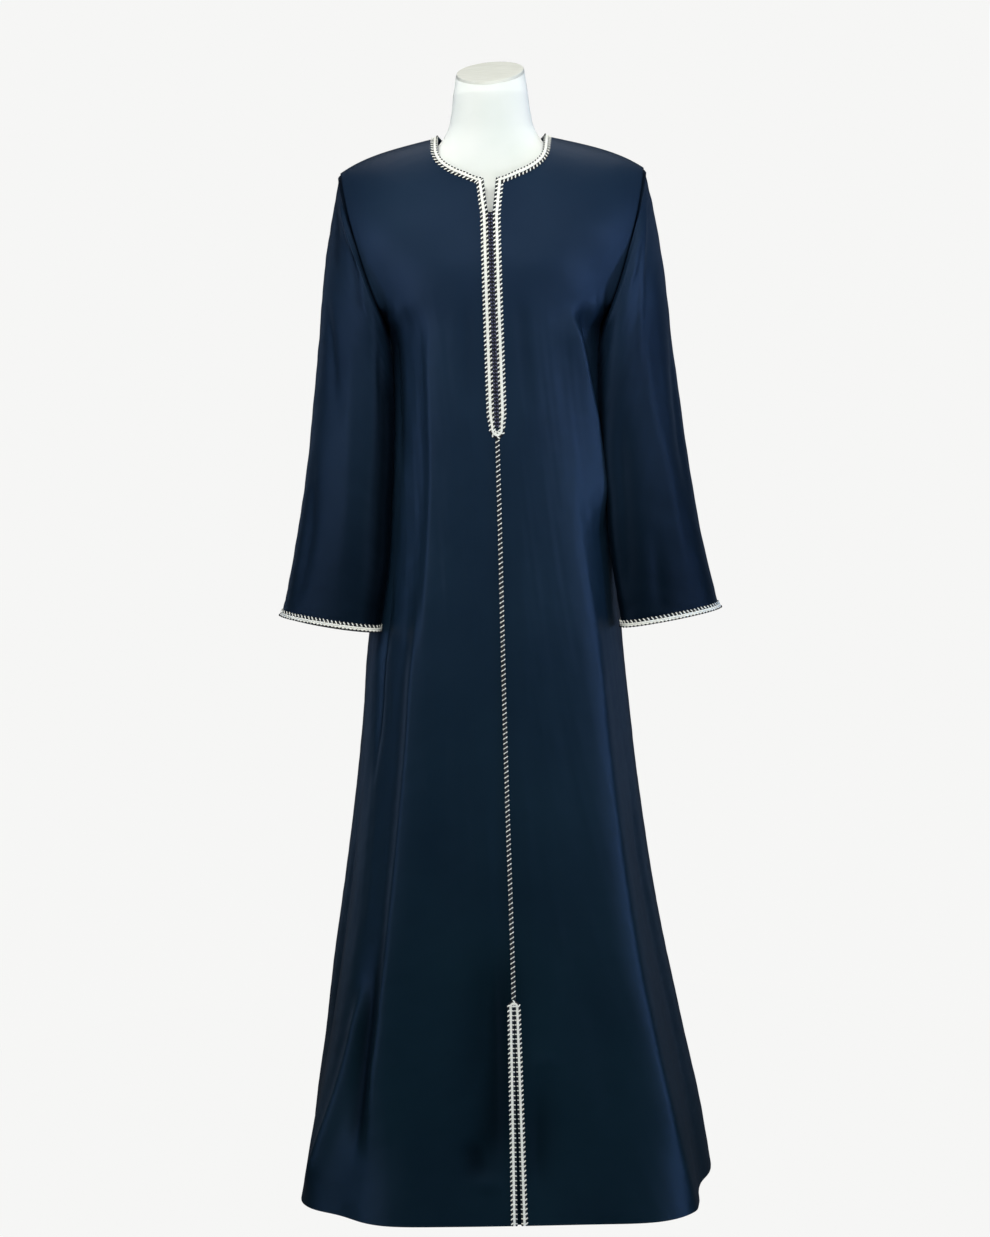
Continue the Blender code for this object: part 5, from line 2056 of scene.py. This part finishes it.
    def build(self) -> list[bpy.types.Object]:
        """Builds the five cut pieces and the dark strip that stands in for shade behind the slit.

        Returns:
            The pieces.
        """
        cloth = self.finish.make()
        made: list[bpy.types.Object] = []
        for side in Side:
            outer, lean, shade = self.shaped(True, side)
            name = f"front_{side.word}"
            made.append(self.wall_of(f"{name}_cloth", outer, lean, shade).build(cloth))
            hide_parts(name)
        halves = zip(self.shaped(False, Side.RIGHT), self.shaped(False, Side.LEFT))
        outer, lean, shade = (
            np.concatenate([right[:, ::-1], left[:, 1:]], 1) for right, left in halves
        )
        made.append(self.wall_of("back_cloth", outer, lean, shade).build(cloth))
        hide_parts("back")
        for side in Side:
            rings, lean, _, shade = self.sleeve(side)
            rings, lean, shade = self.turned_in(rings, lean, shade)
            mirror = np.array([side.value, 1, 1])
            outer, inner = rings * mirror, (rings - lean * self.thick) * mirror
            name = f"sleeve_{side.word}"
            made.append(cloth_wall(f"{name}_cloth", outer, inner, shade, ring=True).build(cloth))
            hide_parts(name)
        made.append(self.slit_facing().build(cloth))
        for piece in made:
            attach(piece, "root")
            LOG.info("cloth piece %s", piece.name)
        return made


@dataclass
class Trims:
    """The braids, the cord and the knots sewn on the robe."""

    robe: Robe
    cream: Silk = Silk("spun_cream_silk", "#f2f2e7", "#d6d7c8")
    navy: Silk = Silk("spun_black_silk", "#07080c", "#030406", 0.6, 0.02)
    knot: Silk = Silk("plaited_navy_silk", "#0b1122", "#04070f", 0.6, 0.02)
    # Painted highlight: the lilac-grey finish of the tufts that stand for the knots' sheen.
    lilac: Silk = Silk("lilac_painted_highlight_silk", "#7b7c9c", "#4a4b66", 0.5, 0.05)
    knot_half: float = 0.0032
    foot_pinch: float = 0.22
    slit_braid_wide: float = 0.0077
    cord_wide: float = 0.0062
    cord_pitch: float = 0.0063

    def mitre(self) -> tuple[Row, Row]:
        """Where the neck's braid turns the notch's corner into the placket's braid.

        The inner rail turns where the neck's edge meets the line beside the slit, and the outer
        rail where the band's low side meets that line a braid's width further out.

        Returns:
            For the inner and for the outer rail: share of the neck's edge, and height.
        """
        shape = self.robe.shape
        t = np.linspace(0.0, 0.35, 180)
        edge, low, _ = shape.neck_band(True, Side.RIGHT, t)
        found: list[Row] = []
        for points, wide in ((edge, 0.0), (low, shape.braid_wide)):
            z = points[:, 2]
            share = points[:, 0] / shape.tip_x
            rise = shape.ridge(np.abs(share) * shape.tip_x) - shape.armpit
            climb = np.arcsin(np.clip((z - shape.armpit) / rise, 0, 1))
            x = points[:, 0] - shape.drift(z) * (1 - share**2) * np.cos(climb)
            past = x - (shape.slit_edge(z) + 0.0005 + wide)
            at = float(np.interp(0.0, past, t))
            found.append((at, float(np.interp(at, t, z))))
        return found[0], found[1]

    def placket(self) -> list[bpy.types.Object]:
        """The braid down the left side of the neck slit, round its foot and up the right side.

        Returns:
            Its pieces.
        """
        shape = self.robe.shape
        top_z = shape.placket_foot
        edges = [height for _, height in self.mitre()]
        f = np.linspace(0, 1, 130)
        z_in = edges[0] + (top_z - edges[0]) * f
        z_out = edges[1] + (top_z - edges[1]) * f
        x_in = np.maximum(shape.slit_edge(z_in) + 0.0005, shape.slit_half)
        x_out = np.maximum(shape.slit_edge(z_out) + 0.0005, shape.slit_half) + shape.braid_wide
        turn = np.linspace(0, np.pi, 26)[1:-1]
        reach = shape.slit_half + shape.braid_wide
        pinch = 1 - self.foot_pinch * ease(1 - (z_in - top_z) / 0.022)
        x_in, x_out = x_in * pinch, x_out * pinch
        point = 1 - self.foot_pinch
        bend_in = (-shape.slit_half * point * np.cos(turn), top_z - shape.slit_half * np.sin(turn))
        bend_out = (-reach * point * np.cos(turn), top_z - reach * np.sin(turn))
        inner_x = np.concatenate([-x_in, bend_in[0], x_in[::-1]])
        inner_z = np.concatenate([z_in, bend_in[1], z_in[::-1]])
        outer_x = np.concatenate([-x_out, bend_out[0], x_out[::-1]])
        outer_z = np.concatenate([z_out, bend_out[1], z_out[::-1]])
        inner, lean_in = shape.front_at(inner_x, inner_z)
        outer, lean_out = shape.front_at(outer_x, outer_z)
        work = BraidWork(
            "placket_braid",
            (0.31, 0.69),
            cream=(
                Teeth(0.15, 0.0058, 50.0, 0.0048, 0.0021),
                Teeth(0.86, 0.0058, 50.0, 0.0050, 0.0021, 0.2),
            ),
        )
        return work.lay([Ribbon(inner, outer, unit(lean_in + lean_out))], self.cream, self.navy)

    def neck(self) -> list[bpy.types.Object]:
        """The braid round the neck's edge, from one side of the slit round the back to the other.

        Returns:
            Its pieces.
        """
        shape = self.robe.shape
        (inner_t, _), (outer_t, _) = self.mitre()
        f = np.linspace(0, 1, 90)
        parts = []
        for front, side, backwards in (
            (True, Side.LEFT, False),
            (False, Side.LEFT, True),
            (False, Side.RIGHT, False),
            (True, Side.RIGHT, True),
        ):
            starts = (inner_t, outer_t) if front else (0.0, 0.0)
            near, far = (start + (1 - start) * f for start in starts)
            edge, _, lean = shape.neck_band(front, side, near)
            _, low, _ = shape.neck_band(front, side, far)
            parts.append([rows[::-1] if backwards else rows for rows in (edge, low, lean)])
        trimmed = [parts[0]] + [[rows[1:] for rows in part] for part in parts[1:]]
        edge, low, lean = (np.concatenate([part[k] for part in trimmed]) for k in range(3))
        work = BraidWork(
            "neck_braid",
            (0.03, 0.60),
            cream=(Teeth(0.83, 0.0056, 56.0, 0.0054, 0.0019),),
            dark=(Teeth(0.13, 0.0050, 12.0, 0.0031, 0.0020),),
            dark_rise=0.0011,
        )
        return work.lay([Ribbon(edge, low, lean)], self.cream, self.navy)

    def hem_slit(self) -> list[bpy.types.Object]:
        """The braid up the left side of the hem slit, over its top and down the right side.

        Returns:
            Its pieces.
        """
        shape = self.robe.shape
        heights = np.linspace(shape.hem, shape.slit_arch, 90)
        edge = shape.slit_edge(heights) + SEAM
        rim = SEAM * 1.5
        turn = np.linspace(0, np.pi, 26)[1:-1]
        inner_x = np.concatenate([-edge, -rim * np.cos(turn), edge[::-1]])
        inner_z = np.concatenate([heights, shape.slit_arch + rim * np.sin(turn), heights[::-1]])
        reach = rim + self.slit_braid_wide
        far = edge + self.slit_braid_wide
        outer_x = np.concatenate([-far, -reach * np.cos(turn), far[::-1]])
        outer_z = np.concatenate([heights, shape.slit_arch + reach * np.sin(turn), heights[::-1]])
        inner, lean_in = shape.front_at(inner_x, inner_z)
        outer, lean_out = shape.front_at(outer_x, outer_z)
        lean = unit(lean_in + lean_out)
        work = BraidWork(
            "hem_slit_braid",
            (0.29, 0.69),
            cream=(
                Teeth(0.84, 0.0060, -50.0, 0.0048, 0.0021),
                Teeth(0.13, 0.0060, 80.0, 0.0030, 0.0018),
            ),
        )
        return work.lay([Ribbon(inner, outer, lean)], self.cream, self.navy)

    def cuffs(self) -> list[bpy.types.Object]:
        """The two braids round the cuffs.

        Returns:
            Their pieces.
        """
        made: list[bpy.types.Object] = []
        for side in Side:
            rings, lean, step, _ = self.robe.sleeve(side)
            mirror = np.array([side.value, 1, 1])
            start = int(np.searchsorted(step, 11.0))
            upper, lower = rings[start] * mirror, rings[-1] * mirror
            normal = unit(lean[start] + lean[-1]) * mirror
            work = BraidWork(
                f"cuff_braid_{side.word}",
                (0.42, 0.95),
                cream=(Teeth(0.20, 0.0056, 54.0 * side.value, 0.0054, 0.0019),),
                dark=(Teeth(0.89, 0.0050, 0.0, 0.0027, 0.0025),),
                dark_rise=0.0014,
            )
            made += work.lay([Ribbon(upper, lower, normal, closed=True)], self.cream, self.navy)
        return made

    def cord(self) -> list[bpy.types.Object]:
        """The twisted cord over the centre seam: slanting cream strands on a dark core.

        Returns:
            Its pieces.
        """
        shape = self.robe.shape
        top = shape.placket_foot - shape.slit_half - shape.braid_wide - 0.0004
        low = shape.slit_arch + self.slit_braid_wide + 0.0011
        z = np.linspace(top, low, 240)
        half = self.cord_wide / 2
        left, lean_left = shape.front_at(np.full(z.shape, -half), z)
        right, lean_right = shape.front_at(np.full(z.shape, half), z)
        way = Ribbon(left, right, unit(lean_left + lean_right))
        f = np.linspace(0, np.pi, 9)
        core = np.stack([0.5 - 0.42 * np.cos(f), SEAM + 0.0002 + 0.0026 * np.sin(f)], -1)
        dark = way.strip(core)
        along = way.places(self.cord_pitch)
        size = (0.0074, 0.0024, 0.0028)
        strands = way.tufts(along, 0.5, 0.0019, 125.0, size)
        ground = merged("centre_cord_core", [dark]).build(self.navy.make())
        cream = merged("centre_cord_strands", [strands]).build(self.cream.make())
        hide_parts("centre_cord")
        for piece, slot in ((ground, Slot.KNOT), (cream, Slot.BRAID)):
            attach(piece, "root")
        return [ground, cream]

    def knots(self) -> list[bpy.types.Object]:
        """The closed column of small knots in the neck slit: two rows of plaited knots on a ground,
        with lilac-grey tufts on them as painted highlights.

        Returns:
            Its pieces.
        """
        shape = self.robe.shape
        z = np.linspace(shape.slit_foot - 0.0012, shape.placket_foot + 0.003, 160)
        left, lean_left = shape.front_at(np.full(z.shape, -self.knot_half), z)
        right, lean_right = shape.front_at(np.full(z.shape, self.knot_half), z)
        way = Ribbon(left, right, unit(lean_left + lean_right))
        ground = merged("knot_column_ground", [way.strip(flat_profile(0, 1, 0.0006, 0.0022))])
        along = way.places(0.0046)
        size = (0.0042, 0.0022, 0.0020)
        plait = [
            way.tufts(along, 0.27, 0.0026, 40.0, size),
            way.tufts(along, 0.73, 0.0026, -40.0, size),
        ]
        # Painted highlights: lilac-grey tufts on the knots stand for the sheen of their dark threads.
        stitches = [
            way.tufts(along + 0.0012, 0.22, 0.0034, 50.0, (0.0029, 0.0010, 0.0008)),
            way.tufts(along + 0.0012, 0.78, 0.0034, 50.0, (0.0029, 0.0010, 0.0008)),
        ]
        base = ground.build(self.navy.make())
        knots = merged("knot_column_plait", plait).build(self.knot.make())
        pale = merged("knot_column_painted_highlights", stitches).build(self.lilac.make())
        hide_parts("knot_column")
        for piece in (base, knots, pale):
            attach(piece, "root")
        return [base, knots, pale]

    def build(self) -> None:
        """Builds every trim and reports it."""
        for make in (self.placket, self.neck, self.hem_slit, self.cuffs, self.cord, self.knots):
            for piece in make():
                LOG.info("trim %s", piece.name)


# ---------------------------------------------------------------------------------------------
# The dress form, the stand and the studio


@dataclass
class DressForm:
    """The limbless bust with its sloping neck cap, and the stand under it."""

    levels: tuple[Row, ...] = (
        (0.78, 0.118, 0.086, 0.088), (0.83, 0.126, 0.092, 0.098), (0.89, 0.122, 0.088, 0.094),
        (0.98, 0.103, 0.077, 0.074), (1.06, 0.102, 0.083, 0.072), (1.14, 0.116, 0.108, 0.082),
        (1.2, 0.128, 0.115, 0.086), (1.26, 0.146, 0.1, 0.082), (1.3, 0.16, 0.086, 0.07),
        (1.325, 0.162, 0.076, 0.06), (1.345, 0.15, 0.069, 0.052), (1.358, 0.122, 0.064, 0.048),
        (1.37, 0.091, 0.06, 0.045), (1.384, 0.0705, 0.056, 0.042), (1.4, 0.059, 0.052, 0.041),
        (1.425, 0.0525, 0.05, 0.041), (1.45, 0.0495, 0.048, 0.041),
    )
    sides: int = 112
    under: float = 0.768
    neck_top: float = 1.476
    top_half: float = 0.0455
    top_deep: float = 0.0445
    cap_pitch: float = 21.0
    cap_roll: float = 4.0
    cap_high: float = 0.004
    cap_round: float = 0.0012

    def oval(self, half: Array, front: Array, back: Array, z: Array, power: Array | float) -> Array:
        """Level rings of points: squared ovals with their own depth in front and behind.

        Args:
            half: Half the width of each ring.
            front: Depth to the front.
            back: Depth to the back.
            z: Height of each.
            power: 2 for an ellipse, more for a squarer ring.

        Returns:
            Rings x sides x 3.
        """
        half, front, back, z, power = (
            np.broadcast_to(np.atleast_1d(value), np.atleast_1d(z).shape)[:, None]
            for value in (half, front, back, z, power)
        )
        turn = np.arange(self.sides)[None, :] * 2 * np.pi / self.sides
        deep = np.where(np.cos(turn) >= 0, front, back)
        outline = np.abs(np.sin(turn) / half) ** power + np.abs(np.cos(turn) / deep) ** power
        radius = outline ** (-1 / power)
        return np.stack([radius * np.sin(turn), -radius * np.cos(turn), z + 0 * turn], -1)

    def sloped(self, rings: Array) -> Array:
        """Rings drawn about height zero, tilted on to the cap's slope.

        Args:
            rings: The rings.

        Returns:
            The tilted rings.
        """
        pitch = math.tan(math.radians(self.cap_pitch))
        roll = math.tan(math.radians(self.cap_roll))
        made = rings.copy()
        made[..., 2] += self.neck_top + pitch * rings[..., 1] + roll * rings[..., 0]
        return made

    def bust(self) -> Piece:
        """The bust: rings through the table's levels, a rounded underside and the sloping neck.

        Returns:
            The piece.
        """
        table = np.array(self.levels)
        z = np.linspace(table[0, 0], table[-1, 0], 170)
        sizes = smooth(table[:, 0], table[:, 1:], z)
        body = self.oval(sizes[:, 0], sizes[:, 1], sizes[:, 2], z, 2.2)
        f = np.linspace(0, 1, 10)[:-1]
        shrink = 0.72 + 0.28 * np.sin(f * np.pi / 2)
        low = table[0, 1:] * shrink[:, None]
        drop = self.under + (z[0] - self.under) * (1 - np.cos(f * np.pi / 2))
        under = self.oval(low[:, 0], low[:, 1], low[:, 2], drop, 2.2)
        f = np.linspace(0, 1, 12)[1:]
        last = table[-1]
        top = (self.top_half, self.top_deep, self.top_deep - 0.004)
        mix = [last[k + 1] + (top[k] - last[k + 1]) * f for k in range(3)]
        neck = self.oval(*mix, 0 * f, 2.2 - 0.2 * f)
        tilted = self.sloped(neck)
        neck[..., 2] = last[0] + (tilted[..., 2] - last[0]) * f[:, None]
        return lofted("form_bust_shell", np.concatenate([under, body, neck]))

    def cap(self) -> Piece:
        """The neck cap: a sloping disc whose upper rim is rounded by a quarter circle.

        Returns:
            The piece.
        """
        f = np.linspace(0, np.pi / 2, 6)
        inset = np.concatenate([[0.0], 0.0008 + self.cap_round * (1 - np.cos(f)), [0.02]])
        rim = self.cap_high - self.cap_round * (1 - np.sin(f))
        high = np.concatenate([[SEAM], rim, [self.cap_high]])
        rings = self.oval(
            self.top_half - inset, self.top_deep - inset, self.top_deep - 0.004 - inset, high, 2.0
        )
        return lofted("neck_cap_disc", self.sloped(rings))

    def build(self, frame: dict) -> list[bpy.types.Object]:
        """Builds the bust and the cap, and gives the stand's own nodes their steel.

        Args:
            frame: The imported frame.

        Returns:
            The two pieces.
        """
        bust = self.bust().build(MouldedShell().make())
        cap = self.cap().build(CapPaint().make(), sharp=80.0)
        for piece, node, slot in ((bust, "form_bust", Slot.SHELL), (cap, "neck_cap", Slot.CAP)):
            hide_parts(node)
            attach(piece, "root")
            LOG.info("form piece %s", piece.name)
        steel = BrushedSteel().make()
        for node in ("stand_pole", "stand_foot"):
            frame["nodes"][node].data.materials.clear()
            frame["nodes"][node].data.materials.append(steel)
        return [bust, cap]


@dataclass(frozen=True)
class Studio:
    """The plain pale sweep, the soft lights and the camera."""

    radius: float = 9.0
    bend: float = 2.0
    high: float = 7.0
    sides: int = 72
    camera_at: tuple[float, float, float] = (-0.0075, -3.65, 1.168)
    pitch: float = 6.55
    roll: float = 1.1
    focal: float = 2707.0
    image: tuple[int, int] = (990, 1237)
    glow: float = 0.955
    air: float = 0.05

    def sweep(self) -> bpy.types.Object:
        """The round floor that bends up into a wall far behind the object on every side.

        Returns:
            The sweep.
        """
        f = np.linspace(0, np.pi / 2, 16)
        bent = self.radius - self.bend + self.bend * np.sin(f)
        reach = np.concatenate([[1.0], bent, [self.radius]])
        z = np.concatenate([[0.0], self.bend * (1 - np.cos(f)), [self.high]])
        turn = np.arange(self.sides) * 2 * np.pi / self.sides
        rings = reach[:, None, None] * np.stack([np.cos(turn), np.sin(turn), 0 * turn], -1)
        rings[..., 2] = z[:, None]
        mesh = bpy.data.meshes.new("studio_sweep")
        quads = grid_quads(len(z), self.sides, ring=True).tolist()
        mesh.from_pydata(rings.reshape(-1, 3).tolist(), [], [list(range(self.sides)), *quads])
        mesh.update()
        mesh.shade_smooth()
        material, tree, shader = new_material("studio_white")
        # It glows evenly and takes no shadow, so that the air round the robe is one pale white.
        fill_inputs(tree, shader, {
            "Base Color": linear("#080808"),
            "Roughness": 1.0,
            "Specular IOR Level": 0.0,
            "Emission Color": linear("#fbfbfa"),
            "Emission Strength": self.glow,
        })
        mesh.materials.append(material)
        made = bpy.data.objects.new("studio_sweep", mesh)
        bpy.context.scene.collection.objects.link(made)
        made.visible_diffuse = False
        made.visible_glossy = False
        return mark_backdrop(made) or made

    def light(
        self, name: str, place: Row, aim: Row, size: Row, power: float, gives: Shine, colour: str
    ) -> None:
        """Adds a soft rectangular light.

        Args:
            name: Its name.
            place: Where it hangs.
            aim: The point it faces.
            size: Width and height.
            power: Watts.
            gives: Which kinds of light it gives.
            colour: Hex colour.
        """
        data = bpy.data.lights.new(name, "AREA")
        data.shape = "RECTANGLE"
        data.size, data.size_y = size
        data.energy = power
        data.color = linear(colour)[:3]
        made = bpy.data.objects.new(name, data)
        made.location = place
        made.rotation_euler = (Vector(aim) - Vector(place)).to_track_quat("-Z", "Y").to_euler()
        made.visible_diffuse, made.visible_glossy = gives.value
        bpy.context.scene.collection.objects.link(made)

    def lights(self) -> None:
        """Hangs the lamps and sets a dim even sky.

        A large soft lamp hangs above the front, with weaker ones before and beside the robe, over
        it and behind it. Most places have one lamp for the even light and one for the highlights.
        """
        white, pale, blue = "#ffffff", "#e4f0ff", "#a8ccff"
        even, shine, both = Shine.EVEN, Shine.HIGHLIGHT, Shine.BOTH
        over, crown, wide = (-0.1, -1.9, 2.75), (0.0, 0.0, 1.4), (2.4, 0.9)
        left, right, tall = (-2.6, -2.0, 1.3), (2.5, -2.1, 1.5), (0.5, 1.6)
        low, knee = (0.0, 0.0, 0.6), (0.0, 0.0, 0.7)
        lamps = (
            ("key", over, crown, wide, 70.0, even, white),
            ("key_shine", over, crown, wide, 24.0, shine, white),
            ("low_front", (0.2, -3.0, 0.45), (0.0, 0.0, 0.3), (1.6, 0.6), 10.0, even, white),
            ("left_front", left, low, tall, 5.0, even, pale),
            ("left_shine", left, low, tall, 31.0, shine, pale),
            ("right_front", right, knee, tall, 6.0, even, pale),
            ("right_shine", right, knee, tall, 25.0, shine, pale),
            ("left_side", (-2.5, -0.7, 1.0), low, (0.4, 1.9), 8.0, both, blue),
            ("right_side", (2.5, -0.8, 0.9), (0.0, 0.0, 0.5), (0.4, 2.1), 25.0, both, blue),
            ("top", (0.0, 0.9, 3.4), (0.0, 0.1, 1.2), (2.4, 1.6), 14.0, both, white),
            ("back", (0.4, 2.9, 2.1), (0.0, 0.0, 0.9), (2.2, 1.4), 34.0, even, white),
            ("back_left_shine", (-2.1, 2.0, 0.9), low, (0.5, 1.9), 2.6, shine, blue),
            ("back_right_shine", (2.1, 2.0, 0.9), low, (0.5, 1.9), 2.6, shine, blue),
        )
        for lamp in lamps:
            self.light(*lamp)
        world = bpy.data.worlds.new("studio_air")
        world.use_nodes = True
        sky = world.node_tree.nodes["Background"]
        fill_inputs(world.node_tree, sky, {"Color": linear("#eef3fa"), "Strength": self.air})
        bpy.context.scene.world = world

    def camera(self) -> None:
        """Sets the camera: its lens from the focal length in pixels of the whole image's height."""
        data = bpy.data.cameras.new("camera")
        data.sensor_fit = "VERTICAL"
        data.sensor_height = 36.0
        data.lens = self.focal / self.image[1] * 36.0
        made = bpy.data.objects.new("camera", data)
        bpy.context.scene.collection.objects.link(made)
        tilt, roll = math.radians(self.pitch), math.radians(self.roll)
        ahead = Vector((0.0, math.cos(tilt), -math.sin(tilt)))
        level_up = Vector((0.0, math.sin(tilt), math.cos(tilt)))
        side = Vector((1.0, 0.0, 0.0))
        right = side * math.cos(roll) - level_up * math.sin(roll)
        up = side * math.sin(roll) + level_up * math.cos(roll)
        turn = Matrix((right, up, -ahead)).transposed()
        made.matrix_world = Matrix.Translation(self.camera_at) @ turn.to_4x4()
        bpy.context.scene.camera = made

    def build(self) -> None:
        """Sets up the whole studio."""
        self.sweep()
        self.lights()
        self.camera()
        bpy.context.scene.view_settings.view_transform = "Standard"


def main() -> None:
    """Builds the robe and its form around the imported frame."""
    logging.basicConfig(level=logging.INFO)
    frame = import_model()
    robe = Robe()
    robe.build()
    Trims(robe).build()
    DressForm().build(frame)
    Studio().build()


if __name__ == "__main__":
    main()
